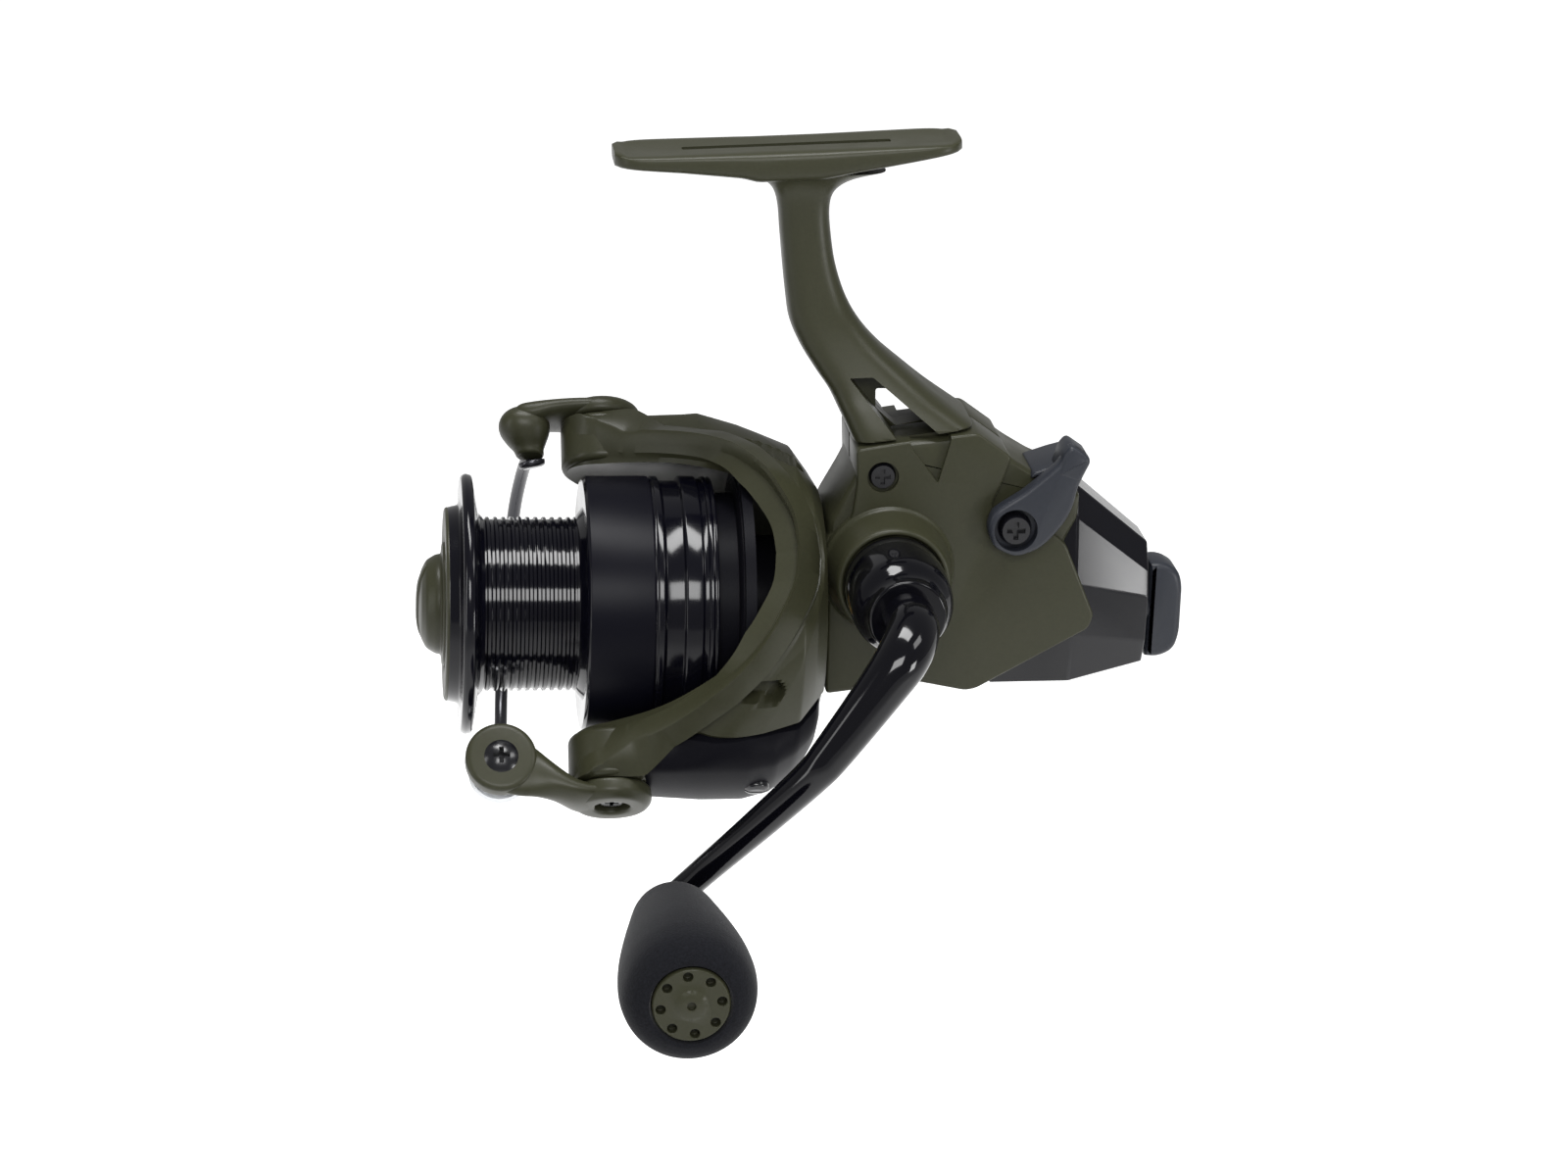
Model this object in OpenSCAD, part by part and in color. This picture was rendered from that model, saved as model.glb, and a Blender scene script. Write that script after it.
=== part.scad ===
// Free-spool spinning reel with front drag and left-hand crank.
// Origin: centre of the face of the foot that lies on the rod. Z up, spool end toward -X, crank toward -Y.

/* [Overall] */
// Distance from the rod face of the foot down to the spool axis
axis_drop = 91; // [88:1:98]
// Length of the foot
foot_length = 65; // [58:1:72]
// Width of the foot
foot_width = 17; // [15:0.5:19]
// Tilt of the foot against the spool axis
foot_tilt = 3; // [1:0.5:4]
// Width of the gear case over both side faces
case_width = 25; // [25:0.5:28]

/* [Spool] */
// Diameter of the front lip of the spool
lip_diameter = 50; // [44:1:51]
// Diameter of the line seat between lip and skirt
arbor_diameter = 33.4; // [30:0.2:36]
// Length of the line seat
arbor_length = 18.4; // [15:0.2:20]
// Outer diameter of the rear skirt
skirt_diameter = 49.2; // [47.6:0.2:50]
// Number of grip grooves in the line seat
arbor_grooves = 11; // [4:1:12]
// Diameter of the front drag knob
drag_knob_diameter = 19; // [17:0.5:21]

/* [Rotor and bail] */
// Outer radius of the rotor arms
arm_radius = 37.8; // [37.4:0.2:40]
// Angle of the arm pair around the spool axis, from upright toward the far side
arm_angle = 40; // [30:1:50]
// Outer diameter of the bail tube
wire_diameter = 2.6; // [2.0:0.1:3.0]
// Outer diameter of the line roller
roller_diameter = 9; // [8:0.25:9.5]
// Bore of the line roller
roller_bore = 4; // [3:0.25:5]

/* [Crank] */
// Distance from the crank axis to the grip axis
crank_length = 70.6; // [60:0.5:76]
// Angle of the crank from straight down, toward the spool end
crank_angle = 36.6; // [0:0.5:60]
// Largest diameter of the grip
grip_diameter = 25; // [22:0.5:30]
// Length of the grip
grip_length = 40; // [34:0.5:48]
// Diameter of the steel post the grip turns on
grip_post_diameter = 5; // [4:0.25:6]

/* [Gears and shafts] */
// Height of the crank axis above the spool axis
crank_height = 11; // [11:0.25:12]
// Diameter of the main shaft
main_shaft_diameter = 5; // [4:0.25:5.5]
// Number of teeth on the drive gear
drive_teeth = 41; // [36:1:44]
// Number of teeth on the pinion
pinion_teeth = 8; // [7:1:9]

/* [Fits] */
// Radial running clearance of shafts in bores
run_gap = 0.05; // [0.02:0.01:0.08]
// Clearance between neighbouring moving pieces
part_gap = 0.3; // [0.2:0.05:0.4]
// Wall thickness of the gear case
wall = 2; // [1.6:0.1:2.2]

/* [Hidden] */
$fn = 72;

olive = [0.24, 0.24, 0.17];
black = [0.06, 0.06, 0.07];
steel = [0.70, 0.71, 0.73];
brass = [0.78, 0.63, 0.32];

// stations along the spool axis
pivot_x = -31.5;
lip_x = pivot_x - 28.1;
lip_depth = 3.4;
arbor_x = lip_x + lip_depth;
skirt_x = arbor_x + arbor_length + 1.5;
skirt_end = skirt_x + 24.6;
flange_x = 10.5;
drum_x = 3;
rim_x = 8;
case_end = 73.6;
half_case = case_width / 2;

// radii
lip_r = lip_diameter / 2;
arbor_r = arbor_diameter / 2;
skirt_r = skirt_diameter / 2;
skirt_in = skirt_r - 1.7;
shaft_r = main_shaft_diameter / 2;
pinion_r = 4.6;
pinion_nose = shaft_r + 1.5;
arm_in = skirt_r + 2.4;
boss_r = 8;
lever_r = arm_radius + part_gap;

// crank
crank_x = 21;
boss_face = half_case + 8.5;
hub_r = 4;
collar_end = boss_face + 19.5;
grip_in = 45.5 + (half_case - 12.5);
grip_out = grip_in + grip_length;
grip_x = crank_x - crank_length * sin(crank_angle);
grip_z = crank_height - crank_length * cos(crank_angle);
gear_r = 12.4;
gear_y = pinion_r + 0.4;

// stroke of the spool from the position drawn

// free-spool lever
lever_x = 44.4;
lever_z = 20.2;
lever_ring = 5.2;

// oscillation gear
osc_x = crank_x + 18;
osc_z = 0.5;
osc_r = 12;
drive_pinion_r = sqrt(pow(18, 2) + pow(crank_height - osc_z, 2)) - osc_r - 0.1;
block_x = osc_x + 5;
rod_y = 2.4;
rod_z = 7.5;

// bail
bail_x = -52;
cone_x = -52.5;
roller_rad = 33.5;

module down() {
    translate([0, 0, -axis_drop])
        children();
}

// local +Z becomes +X
module along_x(x) {
    translate([x, 0, 0])
        rotate([0, 90, 0])
            children();
}

// local +Z becomes -Y, starting at depth y toward the crank side
module along_y(x, z, y) {
    translate([x, -y, z])
        rotate([90, 0, 0])
            children();
}

// turned piece around the spool axis from a profile of [x, radius] points
module turned(points, n = 96) {
    rotate([0, 90, 0])
        rotate_extrude($fn = n)
            polygon([for (p = points) [p[1], p[0]]]);
}

module ring_x(x0, x1, ro, ri, n = 72) {
    along_x(x0)
        difference() {
            cylinder(r = ro, h = x1 - x0, $fn = n);
            translate([0, 0, -1])
                cylinder(r = ri, h = x1 - x0 + 2, $fn = n);
        }
}

module disc_x(x0, x1, r, n = 72) {
    along_x(x0)
        cylinder(r = r, h = x1 - x0, $fn = n);
}

module ring_y(x, z, y0, y1, ro, ri) {
    along_y(x, z, y0)
        difference() {
            cylinder(r = ro, h = y1 - y0);
            translate([0, 0, -1])
                cylinder(r = ri, h = y1 - y0 + 2);
        }
}

// extrudes a side-view outline of [x, z] points between two depths toward the crank side
module side_slab(y0, y1) {
    translate([0, -y0, 0])
        rotate([90, 0, 0])
            linear_extrude(y1 - y0)
                children();
}

// cross recess of a screw head, local +Z out of the head
module cross_recess(size, depth) {
    for (a = [0, 90])
        rotate([0, 0, a])
            translate([-size / 2, -size * 0.14, -depth])
                cube([size, size * 0.28, depth + 1]);
}

// cross-head screw: shank below z = 0, pan head above
module pan_screw(head_r, head_h, shank_r, length) {
    difference() {
        union() {
            translate([0, 0, -length])
                cylinder(r = shank_r, h = length, $fn = 32);
            cylinder(r1 = head_r, r2 = head_r * 0.82, h = head_h, $fn = 48);
        }
        translate([0, 0, head_h])
            cross_recess(head_r * 1.1, head_h * 0.6);
    }
}

// ---------------------------------------------------------------- gear case

module case_outline() {
    polygon([
        [14.8, 33.2], [16.2, 28], [14.2, 23], [flange_x + 0.5, 18.4], [flange_x + 0.5, -18.2],
        [28.8, -16.4], [38.7, -18], [41, -17.4], [54, -16.8], [65.8, -13.8], [72.4, -12.8],
        [case_end, -11.2], [case_end, 3], [73.1, 10.4], [72, 12.6], [59.6, 22.9], [45.2, 30],
        [44.9, 32.9], [39.2, 36.6]
    ]);
}

// side view of everything that belongs to the rear cover
module rear_region() {
    polygon([
        [90, 40], [58.2, 40], [58.2, 21.6], [55.6, 14.2], [61.6, 1.4], [61, -2], [39.4, -14.2],
        [35, -30], [90, -30]
    ]);
}

module case_plan() {
    polygon([
        [5, -half_case + 1.5], [16, -half_case], [46, -half_case], [60, -half_case + 0.8],
        [case_end + 1, -9.6], [case_end + 1, 9.6], [60, half_case - 0.8], [46, half_case],
        [16, half_case], [5, half_case - 1.5]
    ]);
}

module case_solid() {
    intersection() {
        side_slab(-half_case - 1, half_case + 1)
            case_outline();
        translate([0, 0, -40])
            linear_extrude(100)
                case_plan();
    }
}

module case_cavity() {
    intersection() {
        side_slab(-half_case + wall, half_case - wall)
            offset(delta = -wall)
                case_outline();
        translate([0, 0, -40])
            linear_extrude(100)
                offset(delta = -wall)
                    case_plan();
    }
}

split_y = 5;

module stem_outline() {
    polygon([
        [-6.5, 86], [-3, 83.4], [-1.6, 80.6], [-0.9, 76], [0, 68], [1.2, 59], [3.5, 52.6], [9.2, 44.4],
        [12.7, 37.6], [14.8, 33.2], [16.2, 28], [38, 28], [39.2, 36.6], [33.5, 40.6], [25.3, 47],
        [18.6, 52.5], [12.9, 59.8], [10.3, 65.6], [8.8, 73.6], [8.2, 80.4], [10, 84], [14, 86.8]
    ]);
}

module stem_front_view() {
    polygon([
        [-7, 90], [-5.2, 82], [-4.9, 70], [-5.4, 58], [-7, 46], [-half_case + 1.2, 34],
        [-half_case + 0.6, 20],
        [half_case - 0.6, 20], [half_case - 1.2, 34], [7, 46], [5.4, 58], [4.9, 70], [5.2, 82], [7, 90]
    ]);
}

module foot() {
    rotate([0, -foot_tilt, 0])
        difference() {
            intersection() {
                translate([0, foot_width / 2, 0])
                    rotate([90, 0, 0])
                        linear_extrude(foot_width)
                            polygon([
                                [-foot_length / 2, 0], [foot_length / 2, 0], [foot_length / 2, -2.1],
                                [13, -5.2], [6, -8], [-4, -8], [-8, -6], [-foot_length / 2, -2.7]
                            ]);
                translate([0, 0, -12])
                    linear_extrude(14)
                        offset(r = 4)
                            square([foot_length - 8, foot_width - 8], center = true);
            }
            // concave seat for the rod, left short of both ends
            translate([-foot_length / 2 + 1.6, 0, 32])
                rotate([0, 90, 0])
                    cylinder(r = 32.8, h = foot_length - 3.2, $fn = 180);
            // relief pocket
            translate([-21, -3.4, -2.4])
                cube([41, 6.8, 4]);
        }
}

module foot_and_stem() {
    foot();
    down()
        intersection() {
            side_slab(-14, 14)
                intersection() {
                    stem_outline();
                    translate([-20, 0])
                        square([80, axis_drop - 7]);
                }
            rotate([90, 0, 90])
                translate([0, 0, -20])
                    linear_extrude(80)
                        stem_front_view();
        }
    // neck that carries the stem up into the foot for longer drops
    down()
        translate([-1.6, -4.9, 78])
            cube([9.8, 9.8, axis_drop - 78 - 6]);
}

// window through the stem and the recess round it
module stem_window() {
    side_slab(-20, 20)
        polygon([[19.2, 43.6], [20.6, 43.8], [27.2, 38], [27, 37.2], [22.6, 36.6], [19.2, 40.4]]);
    side_slab(half_case - 4.2, 20)
        polygon([[15.6, 46.4], [19.4, 46.6], [30.2, 36.4], [25, 34.6]]);
}

module shell_holes() {
    // crank axis
    along_y(crank_x, crank_height, -60)
        cylinder(r = 6.4, h = 120);
    // lever spindles
    along_y(lever_x, lever_z, -60)
        cylinder(r = 2.5 + run_gap, h = 120);
}

module boss_solid(y1) {
    along_y(crank_x, crank_height, half_case - wall)
        cylinder(r1 = 11.1, r2 = 10.4, h = y1 - half_case + wall, $fn = 96);
}

module body_frame() {
    color(olive) {
        difference() {
            union() {
                foot_and_stem();
                down()
                    difference() {
                        union() {
                            case_solid();
                            // round front plate and drum
                            ring_x(drum_x, flange_x + 2, 19, 5, 96);
                            ring_x(-6, drum_x + 1, 12.4, 5);
                        }
                        // rear belongs to the rear cover
                        side_slab(-40, 40)
                            rear_region();
                    }
                // far drive boss and the bulge over the gear
                down()
                    mirror([0, 1, 0]) {
                        along_y(crank_x, crank_height, half_case - 3)
                            cylinder(r = 10, h = 6.5);
                        along_y(crank_x, crank_height, gear_y - 2)
                            cylinder(r = gear_r + 2, h = half_case - gear_y + 1.2);
                    }
            }
            down() {
                // near side belongs to the side cover
                side_slab(split_y, 40)
                    polygon([
                        [13.4, 33.4], [24, 32.6], [31, 34], [39, 38], [90, 38], [90, -60], [13.4, -60]
                    ]);
                along_y(crank_x, crank_height, half_case - wall - 0.2)
                    cylinder(r = 11.6, h = 20, $fn = 96);
                case_cavity();
                // front drum hollow, clutch seat and bearing seat
                disc_x(drum_x + wall, flange_x + 6, 17.5, 96);
                // round room for the drive gear
                along_y(crank_x, crank_height, -gear_y - 3.4)
                    cylinder(r = gear_r + 0.6, h = gear_y + 3.4);
                disc_x(-7, drum_x - 0.2, 10.4);
                disc_x(drum_x - 1, drum_x + wall + 1, 6.5);
                stem_window();
                shell_holes();
                // far drive bearing seat
                mirror([0, 1, 0])
                    along_y(crank_x, crank_height, half_case - wall - 0.5)
                        cylinder(r = 7.5, h = 4.2);
                cover_screw_holes(1.25);
                for (k = [1, 2])
                    mirror([0, 1, 0])
                        along_y(cover_screw_at[k][0], cover_screw_at[k][1], half_case - 1.6)
                            cylinder(r = 3, h = 10, $fn = 48);
            }
        }
        // pillars for the cover screws and lugs for the rear cover
        down()
            difference() {
                union() {
                    for (p = cover_screw_at)
                        along_y(p[0], p[1], -half_case + wall - 0.3)
                            cylinder(r = 2.4, h = half_case - wall + 0.3 + split_y - 0.2, $fn = 32);
                    translate([40, 6, -10.2])
                        cube([6.2, half_case - wall - 5.7, 4.4]);
                    translate([40, 6, -10.2])
                        cube([23, 3, 4.4]);
                    translate([54, 7, 3.8])
                        cube([3.4, half_case - wall - 6.9, 4.4]);
                    translate([54, 7, 3.8])
                        cube([10.2, 1.9, 4.4]);
                }
                cover_screw_holes(1.25);
                rear_screw_holes(0.95);
            }
        // inner wall that carries the rear pinion bearing and the guide rods
        down()
            difference() {
                union() {
                    translate([25, -split_y + 0.4, -15])
                        cube([2.6, half_case + split_y - wall, 14.6 + 10]);
                    translate([25, -split_y - 1.8, -9])
                        cube([2.6, 4, 8.6 + 10]);
                }
                mirror([0, 1, 0])
                    along_y(crank_x, crank_height, half_case - wall - 0.5)
                        cylinder(r = 7.5, h = 4.2);
                disc_x(20, 32, 4.8);
                for (z = [-rod_z, rod_z])
                    translate([0, rod_y, z])
                        disc_x(20, 32, 1.2);
                along_y(crank_x, crank_height, -gear_y - 3.4)
                    cylinder(r = gear_r + 0.6, h = 3.8);
                along_y(crank_x, crank_height, -20)
                    cylinder(r = hub_r + 0.8, h = 40);
            }
    }
}

// cover screw places: [x, z, from the crank side]
cover_screw_at = [[19.2, 29.4], [30, -12.6], [50, 24]];
rear_screw_at = [[62, 6], [60, -8]];

module cover_screw_holes(r) {
    for (p = cover_screw_at)
        along_y(p[0], p[1], p[1] > 28 ? -4 : -20)
            cylinder(r = r, h = p[1] > 28 ? 30 : 28.6, $fn = 32);
}

module rear_screw_holes(r) {
    for (p = rear_screw_at)
        along_y(p[0], p[1], -40)
            cylinder(r = r, h = 40, $fn = 32);
}

module side_cover() {
    color(olive)
        down()
            difference() {
                union() {
                    intersection() {
                        difference() {
                            case_solid();
                            side_slab(-40, 40)
                                offset(delta = 0.15)
                                    rear_region();
                            case_cavity();
                        }
                        union() {
                            side_slab(split_y + 0.15, 40)
                                polygon([
                                    [13.7, 33], [24, 32.2], [31, 33.6], [39, 37.6], [50, 37.6], [90, 37],
                                    [90, -40], [13.7, -40]
                                ]);
                        }
                    }
                    boss_solid(boss_face);
                    // screw pillars
                    for (p = cover_screw_at)
                        along_y(p[0], p[1], split_y + 0.15)
                            cylinder(r = 2.8, h = half_case - wall - split_y + 0.5, $fn = 32);
                }
                // bearing seat inside the boss
                along_y(crank_x, crank_height, half_case - wall - 4)
                    cylinder(r = 9, h = 6);
                along_y(crank_x, crank_height, half_case)
                    cylinder(r = 7.5, h = 6.2);
                shell_holes();
                cover_screw_holes(1.25);
                along_y(cover_screw_at[0][0], cover_screw_at[0][1], half_case - 1.6)
                    cylinder(r = 3, h = 10, $fn = 48);
                // triangular styling recess
                side_slab(half_case - 0.9, half_case + 2)
                    polygon([[24.6, 32.4], [31.6, 32.8], [29.8, 24.4]]);
            }
}

module rear_cover() {
    color(black)
        down()
            difference() {
                intersection() {
                    case_solid();
                    side_slab(-40, 40)
                        offset(delta = -0.15)
                            rear_region();
                }
                // hollow
                intersection() {
                    case_cavity();
                    translate([-10, -40, -40])
                        cube([case_end - 4 + 10, 80, 80]);
                }
                disc_x(case_end - 6, case_end + 1, 4.2);
                rear_screw_holes(1.0);
                for (p = rear_screw_at)
                    mirror([0, 1, 0])
                        along_y(p[0], p[1], half_case - 2.1)
                            cylinder(r = 2.6, h = 6, $fn = 32);
            }
}

module cover_screws() {
    color(black)
        down()
            for (p = cover_screw_at)
                mirror([0, p[1] > 28 ? 0 : 1, 0])
                    along_y(p[0], p[1], half_case - 1.6)
                        pan_screw(2.7, 1.3, 1.2, half_case + 1.6);
}

module rear_cover_screws() {
    color(black)
        down()
            for (p = rear_screw_at)
                mirror([0, 1, 0])
                    along_y(p[0], p[1], half_case - 2.1)
                        pan_screw(2.3, 1.1, 0.9, 3.2);
}

// ---------------------------------------------------------------- bearings and clutch

module clutch_ring() {
    color(steel)
        down()
            difference() {
                ring_x(-5.4, drum_x - 0.4, 10.35, pinion_nose + 2.3);
                for (a = [0:60:300])
                    rotate([a, 0, 0])
                        translate([-4.4, pinion_nose + 1.6, -1.1])
                            cube([6, 2.4, 2.2]);
            }
}

module clutch_plate() {
    color(steel)
        down()
            difference() {
                ring_x(-6.8, -6, 12.4, pinion_nose + 2.8);
                for (a = [45:90:315])
                    rotate([a, 0, 0])
                        translate([0, 11, 0])
                            disc_x(-8, -5, 0.7, 24);
            }
}

module bearing(x0, x1, ro, ri) {
    difference() {
        ring_x(x0, x1, ro, ri);
        for (x = [x0 - 1, x1 - 0.3])
            ring_x(x, x + 1.3, ro - (ro - ri) * 0.3, ri + (ro - ri) * 0.3);
    }
}

module pinion_bearing_front() {
    color(steel)
        down()
            bearing(drum_x + 0.1, drum_x + wall, 6.45, pinion_nose + run_gap);
}

module pinion_bearing_rear() {
    color(steel)
        down()
            bearing(25, 27.6, 4.75, 3.5 + run_gap);
}

module drive_bearings() {
    color(steel)
        down()
            for (s = [0, 1])
                mirror([0, s, 0])
                    along_y(crank_x, crank_height, s == 0 ? half_case + 0.2 : half_case - wall - 0.3)
                        difference() {
                            cylinder(r = 7.45, h = 4);
                            translate([0, 0, -1])
                                cylinder(r = hub_r + run_gap, h = 6);
                            for (z = [-1, 3.7])
                                translate([0, 0, z])
                                    difference() {
                                        cylinder(r = 6.4, h = 1.3);
                                        cylinder(r = 5, h = 3, center = true);
                                    }
                        }
}

module guide_rods() {
    color(steel)
        down()
            for (z = [-rod_z, rod_z])
                translate([0, rod_y, z])
                    disc_x(25.2, 54, 1.2, 32);
}

// ---------------------------------------------------------------- rotor group

module pinion() {
    color(brass)
        down()
            union() {
                ring_x(-16, 9.6, pinion_nose, shaft_r + run_gap);
                difference() {
                    ring_x(9.6, 24.6, pinion_r, shaft_r + run_gap);
                    for (k = [0:pinion_teeth - 1])
                        rotate([k * 360 / pinion_teeth, 0, 0])
                            translate([9.6 + 1, pinion_r - 0.9, -0.7])
                                cube([13, 2, 1.4]);
                }
                ring_x(24.6, 27.8, 3.5, shaft_r + run_gap);
            }
}

module clutch_sleeve() {
    color(steel)
        down()
            ring_x(-5.4, drum_x - 0.4, pinion_nose + 1.5, pinion_nose);
}

module arm_plan(front_r) {
    polygon([
        [-front_r + 0.06, 0], [-front_r, 8], [-9.5, 18], [-13.2, 31], [-16, 39.6], [16, 39.6], [13.2, 31],
        [9.5, 18], [front_r, 8], [front_r - 0.06, 0]
    ]);
}

// shape cut along the arm direction; plan coordinates: [sideways, back from the pivot]
module along_arm(side, r0, r1) {
    rotate([-arm_angle, 0, 0])
        rotate([side == 1 ? 0 : 180, 0, 0])
            translate([pivot_x, 0, r0])
                rotate([0, 0, -90])
                    linear_extrude(r1 - r0)
                        children();
}

// shape seen from the side of an arm; coordinates: [x, distance from the spool axis]
module arm_side(side) {
    rotate([side == 1 ? -arm_angle : 180 - arm_angle, 0, 0])
        rotate([90, 0, 0])
            translate([0, 0, -22])
                linear_extrude(44)
                    children();
}

module rotor_arm(side) {
    intersection() {
        turned([
            [pivot_x - 9, arm_in], [pivot_x - 9, arm_radius], [-14, arm_radius], [-4, arm_radius - 3],
            [4, 30.4], [rim_x, 26], [rim_x, 24], [2, 25.4], [-4.6, arm_in - 0.6], [-7, arm_in]
        ]);
        along_arm(side, 10, 60)
            arm_plan(boss_r);
    }
    intersection() {
        turned([
            [pivot_x - 9, arm_in], [pivot_x - 9, arm_radius], [pivot_x + 9, arm_radius],
            [pivot_x + 9, arm_in]
        ]);
        along_arm(side, 10, 60)
            circle(r = boss_r);
    }
}

module rotor() {
    color(olive)
        down()
            difference() {
                union() {
                    // hub, web and inner drum
                    ring_x(-12.4, -7.4, 7.4, pinion_nose);
                    ring_x(-10.4, -8, 21, pinion_nose, 96);
                    ring_x(-20, -6, 21.4, 19.8, 96);
                    ring_x(-7.6, -5.2, 24.5, 20.4, 96);
                    // rear shell
                    turned([
                        [-7, 23], [-7, 29.2], [-2, 28.8], [4, 27.4], [rim_x, 25], [rim_x, 22.8],
                        [2, 24.4], [-4.4, 25.6], [-4.4, 23]
                    ]);
                    rotor_arm(1);
                    difference() {
                        rotor_arm(2);
                        // seat of the arm cover
                        arm_side(2)
                            polygon([
                                [pivot_x + 10.4, arm_radius - 3.6], [-2, arm_radius - 3.6],
                                [-2, 29.6], [30, 29.6],
                                [30, 60], [pivot_x + 10.4, 60]
                            ]);
                    }
                }
                // flats where the bail levers turn
                for (s = [1, 2])
                    along_arm(s, arm_radius - 0.6, 60)
                        circle(r = boss_r + 2.2);
                for (s = [1, 2])
                    along_arm(s, arm_radius - 2.3, 60)
                        difference() {
                            circle(r = boss_r + 4);
                            circle(r = boss_r + 0.2);
                        }
                // pivot screw bores
                for (s = [1, 2])
                    along_arm(s, arm_in + 3.2, 60)
                        circle(r = 2.0 + run_gap, $fn = 48);
                // hollow arms: windows beside the rails
                for (s = [1, 2])
                    along_arm(s, 20, 60)
                        for (m = [-1, 1])
                            polygon([[m * 8.6, 24], [m * 11.4, 33], [m * 5.4, 33], [m * 4.4, 24]]);
                along_arm(2, arm_in + 2.2, 60)
                    translate([0, 27.5])
                        circle(r = 1.05, $fn = 32);
                // room for the bail spring and the trip lever
                along_arm(2, arm_in + 2.4, 60)
                    translate([-3.6, 10.8])
                        square([7.2, 12.6]);
            }
}

module cover_plan() {
    polygon([
        [-6.9, 10.2], [6.9, 10.2], [9.2, 18], [12.8, 31], [14.6, 37], [12, 39.5], [-12, 39.5], [-14.6, 37],
        [-12.8, 31], [-9.2, 18]
    ]);
}

module rotor_nut() {
    color(brass)
        down()
            along_x(-15.6)
                difference() {
                    cylinder(r = 6.6, h = 3.1, $fn = 6);
                    translate([0, 0, -1])
                        cylinder(r = pinion_nose, h = 6);
                }
}

module arm_cover() {
    color(black)
        down()
            difference() {
                intersection() {
                    along_arm(2, 20, 60)
                        cover_plan();
                    arm_side(2)
                        polygon([
                            [pivot_x + 10.7, arm_radius - 3.5], [-1.7, arm_radius - 3.5],
                            [-1.7, 29.7], [20, 29.7],
                            [20, 60], [pivot_x + 10.7, 60]
                        ]);
                    turned([
                        [pivot_x, 20], [pivot_x, arm_radius + 0.4], [-14, arm_radius + 1.6],
                        [-6, arm_radius + 0.8],
                        [1, arm_radius - 2], [5.5, arm_radius - 5.6], [7.8, 29.5], [7.8, 20]
                    ]);
                }
                along_arm(2, 20, 60)
                    translate([0, 27.5])
                        circle(r = 1.2, $fn = 32);
                along_arm(2, arm_radius - 2.1, 60)
                    translate([0, 27.5])
                        circle(r = 2.6, $fn = 48);
            }
}

module arm_cover_screw() {
    color(black)
        down()
            rotate([180 - arm_angle, 0, 0])
                translate([pivot_x + 27.5, 0, arm_radius - 2.1])
                    pan_screw(2.3, 1.1, 1, arm_radius - 2.1 - arm_in - 2.4);
}

module pivot_screw() {
    translate([pivot_x, 0, arm_in + 3.4])
        cylinder(r = 2, h = lever_r - arm_in - 3.4 + 2.2, $fn = 48);
}

module bail_pivot_screws() {
    color(black)
        down()
            for (s = [0, 180])
                rotate([s - arm_angle, 0, 0])
                    difference() {
                        pivot_screw();
                        translate([pivot_x, 0, lever_r + 2.2])
                            cross_recess(2.6, 1.2);
                    }
}

module bail_spring() {
    color(steel)
        down()
            rotate([180 - arm_angle, 0, 0])
                translate([pivot_x + 11.4, 0, arm_in + 5])
                    rotate([0, 90, 0])
                        difference() {
                            cylinder(r = 2.1, h = 8, $fn = 40);
                            translate([0, 0, -1])
                                cylinder(r = 1.4, h = 10, $fn = 32);
                        }
}

module trip_lever() {
    color(steel)
        down()
            rotate([180 - arm_angle, 0, 0])
                difference() {
                    union() {
                        translate([pivot_x + 19.6, -2.6, arm_in + 3])
                            cube([3.4, 5.2, 2.4]);
                        translate([pivot_x + 21.3, 0, arm_in + 3])
                            cylinder(r = 1.9, h = 3.4, $fn = 40);
                    }
                    translate([pivot_x + 21.3, 0, arm_in + 2])
                        cylinder(r = 0.8, h = 6, $fn = 32);
                }
}

// ---------------------------------------------------------------- bail

// arms of the bail: s = 180 roller side, 0 holder side
module lever_eye(s) {
    rotate([s - arm_angle, 0, 0])
        translate([pivot_x, 0, lever_r - 0.6 + 0.05])
            difference() {
                cylinder(r = boss_r - 0.4, h = 3.9, $fn = 72);
                translate([0, 0, -1])
                    cylinder(r = 2 + run_gap, h = 6, $fn = 48);
                translate([0, 0, 2.9])
                    cylinder(r = 4, h = 6, $fn = 48);
            }
}

module roller_frame() {
    rotate([180 - arm_angle, 0, 0])
        translate([cone_x, 0, roller_rad])
            rotate([90, 0, 0])
                children();
}

module roller_lever() {
    color(olive)
        down()
            difference() {
                union() {
                    lever_eye(180);
                    // arm, twisting from the pivot face to the roller face
                    rotate([180 - arm_angle, 0, 0])
                        difference() {
                            union() {
                                translate([pivot_x - boss_r - 1.8, -5, lever_r - 0.5])
                                    cube([boss_r + 1.8, 9.4, 3.6]);
                                hull() {
                                    translate([pivot_x - boss_r - 1.8, -5, lever_r - 0.5])
                                        cube([0.6, 9.4, 3.6]);
                                    translate([cone_x + 5, 4.4, roller_rad - 1])
                                        cube([0.6, 3.4, 7]);
                                }
                            }
                            translate([pivot_x, 0, arm_in])
                                cylinder(r = boss_r - 1, h = 30, $fn = 48);
                        }
                    roller_frame()
                        translate([0, 0, -8])
                            cylinder(r = 6.7, h = 3.7, $fn = 72);
                    // fixed spindle of the roller
                    roller_frame()
                        translate([0, 0, -4.4])
                            cylinder(r = roller_bore / 2 - 1, h = 6.2, $fn = 40);
                }
                roller_frame()
                    translate([0, 0, -9])
                        cylinder(r = 3.6, h = 2.4, $fn = 48);
            }
}

module roller_screw() {
    color(black)
        down()
            roller_frame()
                translate([0, 0, -6.6])
                    rotate([180, 0, 0])
                        difference() {
                            intersection() {
                                cylinder(r = 3.4, h = 2.6, $fn = 48);
                                translate([0, 0, -3.2])
                                    sphere(r = 5.6, $fn = 64);
                            }
                            translate([0, 0, 2.3])
                                cross_recess(3.2, 0.9);
                        }
}

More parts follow.
